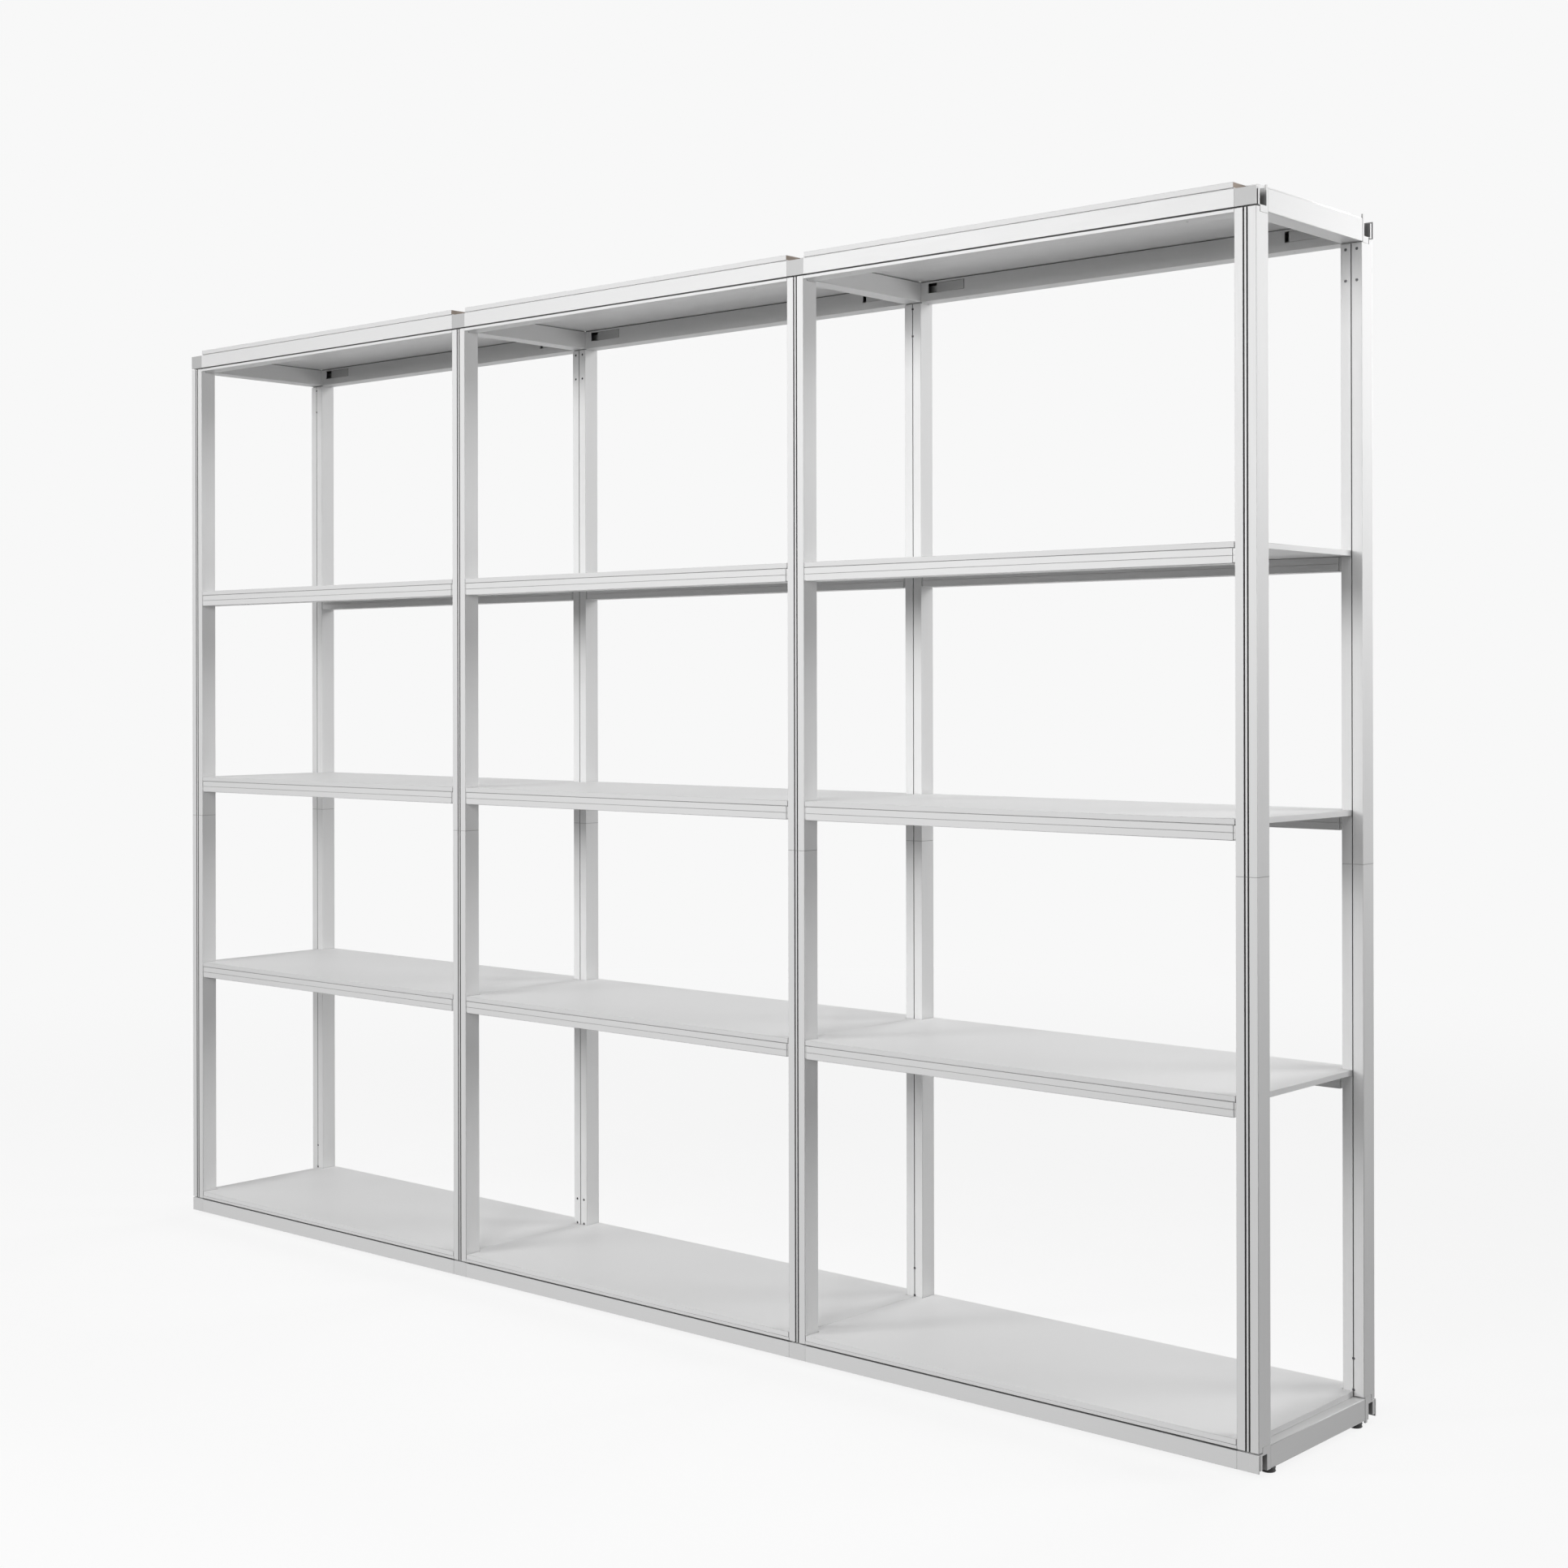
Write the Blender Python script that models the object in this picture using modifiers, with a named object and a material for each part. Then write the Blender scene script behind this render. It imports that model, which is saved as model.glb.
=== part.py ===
"""Portable display shelf: a knock-down rack of three open bays, with a row of four posts in front and one behind.

Metres, +Z up, origin on the floor under the middle of the rack. X runs along the row, the front faces -Y.
Each post is an aluminium extrusion in two lengths, with a hooked corner block screwed into its outer end.
Side rails join front to rear, grooved rails join the blocks along the row, and notched boards lie on the rails.
"""

import math

import bmesh
import bpy
from mathutils import Matrix, Vector

# Overall frame
BAYS = 3
BAY_PITCH = 1.000
FRAME_HEIGHT = 2.157
FRAME_DEPTH = 0.414
SEAT_GAP = 0.0003
FUSE_DEPTH = 0.0005
CUT_OVERRUN = 0.002
WELD_DISTANCE = 0.000002

# Post extrusion, with two panel grooves outside and one narrow seam inside
POST_WIDTH = 0.042
POST_DEPTH = 0.040
POST_WALL = 0.002
POST_CHAMFER = 0.0007
GROOVE_WIDTH = 0.0032
GROOVE_DEPTH = 0.008
GROOVE_WALL = 0.0016
RIB_WIDTH = 0.0036
SEAM_WIDTH = 0.0018
SEAM_DEPTH = 0.005
SPLICE_HEIGHT = 0.998
SPLICE_SPIGOT_LENGTH = 0.080

# Screw holes in the inner faces of the posts, counted from the nearer end of the frame
SCREW_HOLE_RADIUS = 0.003
SCREW_FIRST_ROW = 0.0525
SCREW_ROW_PITCH = 0.0565
SCREW_COLUMN_PITCH = 0.022
SCREW_ROWS = 2
HOLE_SIDES = 8

# Long rails between the corner blocks
PLATE_HEIGHT = 0.031
PANEL_GROOVE_HEIGHT = 0.003
PANEL_GROOVE_DEPTH = 0.013
LIP_HEIGHT = 0.006
RAIL_WALL = 0.002
SEAT_RISE = 0.0014
SEAT_SETBACK = 0.003

# Corner blocks: a cover plate outside and a hook behind it, whose pocket runs along the row
BLOCK_STEP = 0.014
BLOCK_HEIGHT = 0.042
COVER_THICKNESS = 0.0028
SLIT_WIDTH = 0.0014
SLIT_LENGTH = 0.010
HOOK_WALL = 0.0078
HOOK_DROP = 0.004
UPPER_POCKET_DEPTH = 0.030
LOWER_POCKET_DEPTH = 0.028
UPPER_INNER_WALL = 0.0055
LOWER_INNER_WALL = 0.0120
FRONT_UPPER_HORN = 0.006
REAR_UPPER_HORN = 0.009
REAR_LOWER_HORN = 0.0044
REAR_PROUD = 0.0045
POST_SPIGOT_LENGTH = 0.076
SIDE_SPIGOT_LENGTH = 0.026

# Side rails between front and rear blocks
SIDE_RAIL_WALL = 0.002
SIDE_RAIL_CHAMFER = 0.0012
SIDE_RAIL_REAR_SLIT = 0.002

# Boards, all cut alike
BOARD_THICKNESS = 0.010
BOARD_JOINT = 0.0006
NOTCH_CLEARANCE = 0.002
LOW_SHELF_TOP = 0.628
MIDDLE_SHELF_TOP = 1.095
HIGH_SHELF_TOP = 1.5625

# Shelf rails and the brackets that hang them between the posts
SHELF_RAIL_HEIGHT = 0.027
SHELF_RAIL_DEPTH = 0.040
SHELF_RAIL_WALL = 0.0015
SCORE_WIDTH = 0.0012
SCORE_DEPTH = 0.0009
BRACKET_WIDTH = 0.005
BRACKET_SETBACK = 0.0012
BRACKET_TONGUE = 0.015
JOINT_LINE_DEPTH = 0.0012

# Sliding locks in the rear top rails, which shoot a bolt into the pocket of the corner block
WINDOW_START = 0.020
WINDOW_LENGTH = 0.093
WINDOW_HEIGHT = 0.0203
WINDOW_DROP = 0.004
SLIDER_LENGTH = 0.0715
SLIDER_RECESS = 0.0006
FLANGE_LIP = 0.0012
FLANGE_THICKNESS = 0.002
BOLT_WIDTH = 0.014
BOLT_HEIGHT = 0.014
BOLT_INSET = 0.0145
BOLT_TIP_SETBACK = 0.001
RIGHT_LOCK_ADVANCE = 0.007

# Holes for the grub screws that hold the long rails
GRUB_HOLE_START = 0.104
GRUB_HOLE_RADIUS = 0.0024

# Levelling feet
FOOT_HEIGHT = 0.009
FOOT_RADIUS = 0.0125
FOOT_EDGE = 0.0016
STUD_RADIUS = 0.004
STUD_LENGTH = 0.026
STUD_CHAMFER = 0.001
FOOT_INSET = 0.0114
FOOT_SETBACK = 0.052
FOOT_STEPS = 12

# Places worked out from the sizes above
POST_COUNT = BAYS + 1
POST_X = [(i - BAYS / 2) * BAY_PITCH for i in range(POST_COUNT)]
BAY_X = [(POST_X[i] + POST_X[i + 1]) / 2 for i in range(BAYS)]
CLEAR_SPAN = BAY_PITCH - POST_WIDTH
FRONT_FACE = -(FRAME_DEPTH + REAR_PROUD) / 2
REAR_FACE = FRONT_FACE + FRAME_DEPTH
BASE = FOOT_HEIGHT
TOP = BASE + FRAME_HEIGHT
GROOVE_END = PLATE_HEIGHT + PANEL_GROOVE_HEIGHT
RAIL_HEIGHT = GROOVE_END + LIP_HEIGHT
CORE_FRONT = GROOVE_DEPTH + GROOVE_WALL
CORE_BACK = POST_DEPTH - SEAM_DEPTH - GROOVE_WALL
WINDOW_MIDDLE = WINDOW_DROP + WINDOW_HEIGHT / 2

ROWS = ("front", "rear")
SECTIONS = {"lower": "bottom", "upper": "top"}
POCKET_DEPTHS = {"bottom": LOWER_POCKET_DEPTH, "top": UPPER_POCKET_DEPTH}
INNER_WALLS = {"bottom": LOWER_INNER_WALL, "top": UPPER_INNER_WALL}
HORNS = {
    ("front", "bottom"): 0.0,
    ("rear", "bottom"): REAR_LOWER_HORN,
    ("front", "top"): FRONT_UPPER_HORN,
    ("rear", "top"): REAR_UPPER_HORN,
}
PROUD = {"front": 0.0, "rear": REAR_PROUD}

# Screw holes in each post of a row, from the left: one column through the seam, or one on each side of it
SCREW_PATTERNS = {
    "lower": ("single", "double", "single", "single"),
    "upper": ("single", "double", "single", "double"),
}

# An outline is drawn flat. LENGTHWISE turns it to run along the row, and CROSSWISE to run from front to rear.
LENGTHWISE = Matrix(((0, 0, 1, 0), (1, 0, 0, 0), (0, 1, 0, 0), (0, 0, 0, 1)))
CROSSWISE = Matrix(((1, 0, 0, 0), (0, 0, -1, 0), (0, 1, 0, 0), (0, 0, 0, 1)))
ACROSS_POST = Matrix.Rotation(math.pi / 2, 4, "X")


# Scene and materials


def clear_scene():
    """Remove every object that the file starts with."""
    for thing in list(bpy.data.objects):
        bpy.data.objects.remove(thing, do_unlink=True)


def new_material(name, colour, roughness, metallic):
    """Return a Principled material."""
    material = bpy.data.materials.new(name)
    material.use_nodes = True
    shader = material.node_tree.nodes["Principled BSDF"]
    shader.inputs["Base Color"].default_value = (*colour, 1.0)
    shader.inputs["Roughness"].default_value = roughness
    shader.inputs["Metallic"].default_value = metallic
    material.diffuse_color = (*colour, 1.0)
    return material


def make_materials():
    """Return the finishes of the rack by name."""
    return {
        "white_frame": new_material("white_frame", (0.80, 0.80, 0.80), 0.42, 0.0),
        "white_board": new_material("white_board", (0.84, 0.84, 0.84), 0.5, 0.0),
        "lock_grey": new_material("lock_grey", (0.45, 0.45, 0.45), 0.4, 0.2),
        "foot_black": new_material("foot_black", (0.02, 0.02, 0.02), 0.6, 0.0),
    }


# Meshes


def face_outwards(data):
    """Point the faces of one closed skin outwards."""
    bmesh.ops.recalc_face_normals(data, faces=data.faces)
    if data.calc_volume(signed=True) < 0.0:
        bmesh.ops.reverse_faces(data, faces=data.faces)


def closed(data):
    """Weld a bmesh into one closed skin and return it as a mesh."""
    bmesh.ops.remove_doubles(data, verts=data.verts, dist=WELD_DISTANCE)
    face_outwards(data)
    mesh = bpy.data.meshes.new("solid")
    data.to_mesh(mesh)
    data.free()
    return mesh


def taken_from(thing):
    """Return an object's evaluated shape as a bmesh in world space, and remove the object."""
    bpy.context.view_layer.update()
    seen = thing.evaluated_get(bpy.context.evaluated_depsgraph_get())
    mesh = bpy.data.meshes.new_from_object(seen)
    data = bmesh.new()
    data.from_mesh(mesh)
    data.transform(thing.matrix_world)
    bpy.data.meshes.remove(mesh)
    bpy.data.objects.remove(thing, do_unlink=True)
    return data


def extruded(outline, length, turn=None):
    """Extrude a flat outline half its length each way, and turn it to its axis.

    Each end is capped as one face, because a filled curve leaves slits where three corners lie in line.
    """
    curve = bpy.data.curves.new("outline", "CURVE")
    curve.dimensions = "2D"
    curve.fill_mode = "NONE"
    curve.extrude = length / 2
    spline = curve.splines.new("POLY")
    spline.points.add(len(outline) - 1)
    for point, (across, along) in zip(spline.points, outline):
        point.co = (across, along, 0.0, 1.0)
    spline.use_cyclic_u = True
    thing = bpy.data.objects.new("outline", curve)
    bpy.context.scene.collection.objects.link(thing)
    if turn is not None:
        thing.matrix_world = turn
    data = taken_from(thing)
    bpy.data.curves.remove(curve)
    bmesh.ops.remove_doubles(data, verts=data.verts, dist=WELD_DISTANCE)
    bmesh.ops.holes_fill(data, edges=[edge for edge in data.edges if edge.is_boundary])
    return closed(data)


def tube(skin, hollow, length, turn=None):
    """Extrude a hollow section, open at both ends."""
    return cut(extruded(skin, length, turn), extruded(hollow, length + 2 * CUT_OVERRUN, turn))


def box(low, high):
    """Return a box between two corners."""
    data = bmesh.new()
    bmesh.ops.create_cube(data, size=1.0)
    low, high = Vector(low), Vector(high)
    size = Matrix.Diagonal((*(high - low), 1.0))
    data.transform(Matrix.Translation((low + high) / 2) @ size)
    return closed(data)


def rod(radius, length, centre, turn=None):
    """Return a round bar for cutting a hole along Z, or along the way that turn points it."""
    data = bmesh.new()
    bmesh.ops.create_cone(
        data, cap_ends=True, segments=HOLE_SIDES, radius1=radius, radius2=radius, depth=length
    )
    data.transform(Matrix.Translation(centre) @ (turn or Matrix.Identity(4)))
    return closed(data)


def moved(mesh, matrix):
    """Return a moved or mirrored copy of a mesh, its faces still outwards."""
    data = bmesh.new()
    data.from_mesh(mesh)
    data.transform(matrix)
    return closed(data)


def combined(body, tools, operation):
    """Return a mesh that each tool in turn cuts or joins."""
    for tool in tools:
        thing = bpy.data.objects.new("body", body)
        other = bpy.data.objects.new("tool", tool)
        for part in (thing, other):
            bpy.context.scene.collection.objects.link(part)
        other.hide_render = True
        other.display_type = "WIRE"
        modifier = thing.modifiers.new("combine", "BOOLEAN")
        modifier.operation = operation
        modifier.object = other
        body = closed(taken_from(thing))
        bpy.data.objects.remove(other, do_unlink=True)
    return body


def cut(body, *tools):
    """Return a mesh with the tools cut out of it."""
    return combined(body, tools, "DIFFERENCE")


def joined(body, *tools):
    """Return a mesh made one body with the tools."""
    return combined(body, tools, "UNION")


def chamfered(points, corners, size):
    """Return an outline with some of its corners cut off."""
    result = []
    count = len(points)
    for index, point in enumerate(points):
        if index not in corners:
            result.append(point)
            continue
        here = Vector(point)
        for neighbour in (points[index - 1], points[(index + 1) % count]):
            step = (Vector(neighbour) - here).normalized() * size
            result.append(tuple(here + step))
    return result


def rectangle(low, high):
    """Return the outline of a rectangle between two corners."""
    return [low, (high[0], low[1]), high, (low[0], high[1])]


# Rows and corners
#
# Pieces at a corner are drawn in the corner's own frame: x along the row, y inward from the outer face of the
# row, and z inward from the end of the frame, so the same drawing serves all four corners of a side frame.


def row_y(row, inward):
    """Return the Y of a place that lies a distance inward from the outer face of the front or rear row."""
    return FRONT_FACE + inward if row == "front" else REAR_FACE - inward


def corner_place(x, row, level):
    """Return where the origin of a corner's own frame lies."""
    return (x, row_y(row, 0.0), BASE if level == "bottom" else TOP)


def corner_mirror(row, level):
    """Return the mirror that turns a corner's own frame to the rack's axes."""
    across = 1.0 if row == "front" else -1.0
    upward = 1.0 if level == "bottom" else -1.0
    return Matrix.Diagonal((1.0, across, upward, 1.0))


class Rack:
    """Collects the nodes of the rack in one collection, under one empty."""

    def __init__(self):
        """Make the collection, the empty and the finishes."""
        self.collection = bpy.data.collections.new("portable_display_shelf")
        bpy.context.scene.collection.children.link(self.collection)
        self.root = bpy.data.objects.new("rack_origin", None)
        self.collection.objects.link(self.root)
        self.materials = make_materials()

    def add(self, name, mesh, material, place):
        """Add one node with its own copy of a mesh."""
        own = mesh.copy()
        own.name = name
        own.materials.clear()
        own.materials.append(self.materials[material])
        thing = bpy.data.objects.new(name, own)
        thing.location = place
        thing.parent = self.root
        self.collection.objects.link(thing)
        return thing


# Posts with their corner blocks


def post_outline():
    """Return the outer skin and the hollow of the post extrusion, its outer face on y = 0."""
    half = POST_WIDTH / 2
    rib = RIB_WIDTH / 2
    groove = rib + GROOVE_WIDTH
    seam = SEAM_WIDTH / 2
    skin = [
        (-half, 0.0),
        (-groove, 0.0),
        (-groove, GROOVE_DEPTH),
        (-rib, GROOVE_DEPTH),
        (-rib, 0.0),
        (rib, 0.0),
        (rib, GROOVE_DEPTH),
        (groove, GROOVE_DEPTH),
        (groove, 0.0),
        (half, 0.0),
        (half, POST_DEPTH),
        (seam, POST_DEPTH),
        (seam, POST_DEPTH - SEAM_DEPTH),
        (-seam, POST_DEPTH - SEAM_DEPTH),
        (-seam, POST_DEPTH),
        (-half, POST_DEPTH),
    ]
    inside = half - POST_WALL
    beside_groove = groove + GROOVE_WALL
    beside_seam = seam + GROOVE_WALL
    back = POST_DEPTH - POST_WALL
    hollow = [
        (-inside, POST_WALL),
        (-beside_groove, POST_WALL),
        (-beside_groove, CORE_FRONT),
        (beside_groove, CORE_FRONT),
        (beside_groove, POST_WALL),
        (inside, POST_WALL),
        (inside, back),
        (beside_seam, back),
        (beside_seam, CORE_BACK),
        (-beside_seam, CORE_BACK),
        (-beside_seam, back),
        (-inside, back),
    ]
    corners = [skin.index((x, y)) for x in (-half, half) for y in (0.0, POST_DEPTH)]
    return chamfered(skin, corners, POST_CHAMFER), hollow


def post_tube(section):
    """Return one length of post, stepped at its end for the corner block, up to the splice."""
    splice = SPLICE_HEIGHT if section == "lower" else FRAME_HEIGHT - SPLICE_HEIGHT
    length = splice - SEAT_GAP / 2 - GROOVE_END
    place = Matrix.Translation((0.0, 0.0, GROOVE_END + length / 2))
    step = box(
        (-POST_WIDTH, BLOCK_STEP - SEAT_GAP, GROOVE_END - CUT_OVERRUN),
        (POST_WIDTH, POST_DEPTH + CUT_OVERRUN, BLOCK_HEIGHT + SEAT_GAP),
    )
    return cut(moved(tube(*post_outline(), length), place), step)


def core_bar(start, end, clearance):
    """Return a bar in the core of a post between two heights, its clearance to the side walls given."""
    half = POST_WIDTH / 2 - POST_WALL - clearance
    return box((-half, CORE_FRONT + SEAT_GAP, start), (half, CORE_BACK - SEAT_GAP, end))


def screw_holes(pattern):
    """Return the cutters of the screws that hold a post on its corner block's spigot."""
    depths = {"single": SEAM_DEPTH + GROOVE_WALL, "double": POST_WALL}
    columns = {"single": (0.0,), "double": (-SCREW_COLUMN_PITCH / 2, SCREW_COLUMN_PITCH / 2)}
    depth = depths[pattern]
    cutters = []
    for row in range(SCREW_ROWS):
        for x in columns[pattern]:
            centre = (x, POST_DEPTH, SCREW_FIRST_ROW + row * SCREW_ROW_PITCH)
            cutters.append(rod(SCREW_HOLE_RADIUS, 2 * (depth + CUT_OVERRUN), centre, ACROSS_POST))
    return cutters


def block_outline(row, level):
    """Return the section of a corner block, in (inward, from the frame's end), seen along the row."""
    front = -PROUD[row]
    back = POST_DEPTH - PROUD[row]
    cover = front + COVER_THICKNESS
    pocket_front = cover + SLIT_WIDTH + HOOK_WALL
    pocket_back = back - INNER_WALLS[level]
    pocket = POCKET_DEPTHS[level]
    horn = -HORNS[row, level]
    return [
        (front, 0.0),
        (front, PLATE_HEIGHT),
        (BLOCK_STEP, PLATE_HEIGHT),
        (BLOCK_STEP, BLOCK_HEIGHT),
        (back, BLOCK_HEIGHT),
        (back, horn),
        (pocket_back, horn),
        (pocket_back, pocket),
        (pocket_front, pocket),
        (pocket_front, HOOK_DROP),
        (cover, HOOK_DROP),
        (cover, 0.0),
    ]


def cover_slit(row, side):
    """Return the cutter of the slit between a block's cover plate and its hook, at one end of the block."""
    cover = COVER_THICKNESS - PROUD[row]
    inner = side * (POST_WIDTH / 2 - SLIT_LENGTH)
    outer = side * (POST_WIDTH / 2 + CUT_OVERRUN)
    low = (min(inner, outer), cover, -CUT_OVERRUN)
    high = (max(inner, outer), cover + SLIT_WIDTH, PLATE_HEIGHT + CUT_OVERRUN)
    return box(low, high)


def side_spigot(row, level):
    """Return the arm of a corner block that fits inside the side rail."""
    half = POST_WIDTH / 2 - SIDE_RAIL_WALL - SEAT_GAP
    root = POST_DEPTH - PROUD[row] - INNER_WALLS[level] / 2
    return box(
        (-half, root, SIDE_RAIL_WALL + SEAT_GAP),
        (half, POST_DEPTH + SIDE_SPIGOT_LENGTH, RAIL_HEIGHT - SIDE_RAIL_WALL - SEAT_GAP),
    )


def post_solid(row, section, pattern, foot_x):
    """Return a post length with its corner block, and with the splice spigot on the lower one."""
    level = SECTIONS[section]
    block = extruded(block_outline(row, level), POST_WIDTH, LENGTHWISE)
    block = cut(block, cover_slit(row, -1), cover_slit(row, 1))
    block = joined(block, side_spigot(row, level))
    spigot_root = (POCKET_DEPTHS[level] + BLOCK_HEIGHT) / 2
    spigot = core_bar(spigot_root, BLOCK_HEIGHT + POST_SPIGOT_LENGTH, -FUSE_DEPTH)
    post = joined(post_tube(section), joined(block, spigot))
    if section == "lower":
        held = core_bar(SPLICE_HEIGHT - SPLICE_SPIGOT_LENGTH, SPLICE_HEIGHT - SEAT_GAP, -FUSE_DEPTH)
        free = core_bar(SPLICE_HEIGHT - CUT_OVERRUN, SPLICE_HEIGHT + SPLICE_SPIGOT_LENGTH, SEAT_GAP)
        post = joined(post, joined(held, free))
        post = cut(post, foot_hole(foot_x))
    return cut(post, *screw_holes(pattern))


def add_posts(rack):
    """Add the sixteen post lengths."""
    shapes = {}
    for row in ROWS:
        for section, level in SECTIONS.items():
            for index, x in enumerate(POST_X):
                pattern = SCREW_PATTERNS[section][index]
                foot_x = foot_offset(index)
                key = (row, section, pattern, foot_x if section == "lower" else 0.0)
                if key not in shapes:
                    shapes[key] = moved(post_solid(row, section, pattern, foot_x), corner_mirror(row, level))
                name = f"{row}_{section}_post_{index + 1}"
                rack.add(name, shapes[key], "white_frame", corner_place(x, row, level))


# Long rails


def rail_outline(rise, setback):
    """Return the skin and hollow of a long rail, in (inward, from the frame's end).

    Its seat for the board stands higher than its outer edge by rise, and starts behind that edge by setback.
    """
    skin = [
        (0.0, 0.0),
        (0.0, PLATE_HEIGHT),
        (PANEL_GROOVE_DEPTH, PLATE_HEIGHT),
        (PANEL_GROOVE_DEPTH, GROOVE_END),
        (0.0, GROOVE_END),
        (0.0, RAIL_HEIGHT),
        (POST_DEPTH, RAIL_HEIGHT),
        (POST_DEPTH, -rise),
        (setback, -rise),
        (setback, 0.0),
    ]
    behind_groove = PANEL_GROOVE_DEPTH + RAIL_WALL
    hollow = [
        (RAIL_WALL, RAIL_WALL),
        (RAIL_WALL, PLATE_HEIGHT - RAIL_WALL),
        (behind_groove, PLATE_HEIGHT - RAIL_WALL),
        (behind_groove, RAIL_HEIGHT - RAIL_WALL),
        (POST_DEPTH - RAIL_WALL, RAIL_HEIGHT - RAIL_WALL),
        (POST_DEPTH - RAIL_WALL, RAIL_WALL),
    ]
    return skin, hollow


def lower_rail_outline():
    """Return the skin and hollow of a bottom rail, whose board lies on its inner side."""
    skin, hollow = rail_outline(0.0, 0.0)
    plain = skin[:-2]
    top = RAIL_HEIGHT + SEAT_GAP + FUSE_DEPTH
    seated = []
    for point in plain:
        if point == (0.0, RAIL_HEIGHT):
            seated += [point, (JOINT_LINE_DEPTH, RAIL_HEIGHT), (JOINT_LINE_DEPTH, top)]
        elif point == (POST_DEPTH, RAIL_HEIGHT):
            seated.append((POST_DEPTH, top))
        else:
            seated.append(point)
    return seated, hollow


def window_cutter(side):
    """Return the cutter of one lock window, at the left (-1) or right (1) end of a bay."""
    start = side * (CLEAR_SPAN / 2 - WINDOW_START)
    end = side * (CLEAR_SPAN / 2 - WINDOW_START - WINDOW_LENGTH)
    return box(
        (min(start, end), POST_DEPTH - RAIL_WALL - CUT_OVERRUN, WINDOW_DROP),
        (max(start, end), POST_DEPTH + CUT_OVERRUN, WINDOW_DROP + WINDOW_HEIGHT),
    )


def grub_cutter(side):
    """Return the cutter of a grub screw's hole in the underside of a top rail."""
    centre = (side * (CLEAR_SPAN / 2 - GRUB_HOLE_START), POST_DEPTH / 2, RAIL_HEIGHT)
    return rod(GRUB_HOLE_RADIUS, 2 * (RAIL_WALL + CUT_OVERRUN), centre)


def add_top_rails(rack):
    """Add the top rails along the row, the rear ones with windows for their locks."""
    length = CLEAR_SPAN - 2 * SEAT_GAP
    rail = tube(*rail_outline(SEAT_RISE, SEAT_SETBACK), length, LENGTHWISE)
    rail = cut(rail, grub_cutter(-1), grub_cutter(1))
    shapes = {"front": rail, "rear": cut(rail, window_cutter(-1), window_cutter(1))}
    for row in ROWS:
        shape = moved(shapes[row], corner_mirror(row, "top"))
        for index, x in enumerate(BAY_X):
            rack.add(f"{row}_top_rail_{index + 1}", shape, "white_frame", corner_place(x, row, "top"))


# Side rails


def side_rail_outline(rise):
    """Return the skin and hollow of a side rail, in (along the row, from the frame's end)."""
    half = POST_WIDTH / 2
    skin = rectangle((-half, -rise), (half, RAIL_HEIGHT))
    inside = half - SIDE_RAIL_WALL
    hollow = rectangle((-inside, SIDE_RAIL_WALL), (inside, RAIL_HEIGHT - SIDE_RAIL_WALL))
    return chamfered(skin, range(len(skin)), SIDE_RAIL_CHAMFER), hollow


def add_side_rails(rack):
    """Add the rails that join the front and rear blocks, the lower ones drilled for the feet."""
    front = row_y("front", POST_DEPTH + SEAT_GAP)
    rear = row_y("rear", POST_DEPTH - REAR_PROUD + SIDE_RAIL_REAR_SLIT)
    middle = (front + rear) / 2
    for level, rise in (("bottom", 0.0), ("top", SEAT_RISE)):
        plain = moved(tube(*side_rail_outline(rise), rear - front, CROSSWISE), corner_mirror("front", level))
        end = BASE if level == "bottom" else TOP
        for index, x in enumerate(POST_X):
            rail = plain
            if level == "bottom":
                foot_y = [row_y(row, FOOT_SETBACK) - middle for row in ROWS]
                turned = [Matrix.Translation((0.0, y - FOOT_SETBACK, 0.0)) for y in foot_y]
                rail = cut(plain, *[moved(foot_hole(foot_offset(index)), turn) for turn in turned])
            rack.add(f"{level}_side_rail_{index + 1}", rail, "white_frame", (x, middle, end))


# Boards and decks
#
# A deck is a board with the two rails that it is fixed to. It is drawn about the middle of its bay, with the
# underside of the board on z = 0.


def board_solid(underside):
    """Return a board, notched at its corners round the posts, with its underside at a height."""
    end = (BAY_PITCH - BOARD_JOINT) / 2
    shoulder = CLEAR_SPAN / 2 - NOTCH_CLEARANCE
    inner_front = row_y("front", POST_DEPTH + NOTCH_CLEARANCE)
    inner_rear = row_y("rear", POST_DEPTH + NOTCH_CLEARANCE)
    outline = [
        (-shoulder, FRONT_FACE),
        (shoulder, FRONT_FACE),
        (shoulder, inner_front),
        (end, inner_front),
        (end, inner_rear),
        (shoulder, inner_rear),
        (shoulder, REAR_FACE),
        (-shoulder, REAR_FACE),
        (-shoulder, inner_rear),
        (-end, inner_rear),
        (-end, inner_front),
        (-shoulder, inner_front),
    ]
    board = extruded(outline, BOARD_THICKNESS)
    return moved(board, Matrix.Translation((0.0, 0.0, underside + BOARD_THICKNESS / 2)))


def in_row(mesh, row, drop):
    """Return a piece drawn from its row's outer face, placed in its row and lowered."""
    across = 1.0 if row == "front" else -1.0
    place = Matrix.Translation((0.0, row_y(row, 0.0), -drop))
    return moved(mesh, place @ Matrix.Diagonal((1.0, across, 1.0, 1.0)))


def bottom_deck():
    """Return a bottom board with the front and rear rails under it."""
    rail = tube(*lower_rail_outline(), CLEAR_SPAN - 2 * SEAT_GAP, LENGTHWISE)
    drop = RAIL_HEIGHT + SEAT_GAP
    return joined(board_solid(0.0), *[in_row(rail, row, drop) for row in ROWS])


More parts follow.
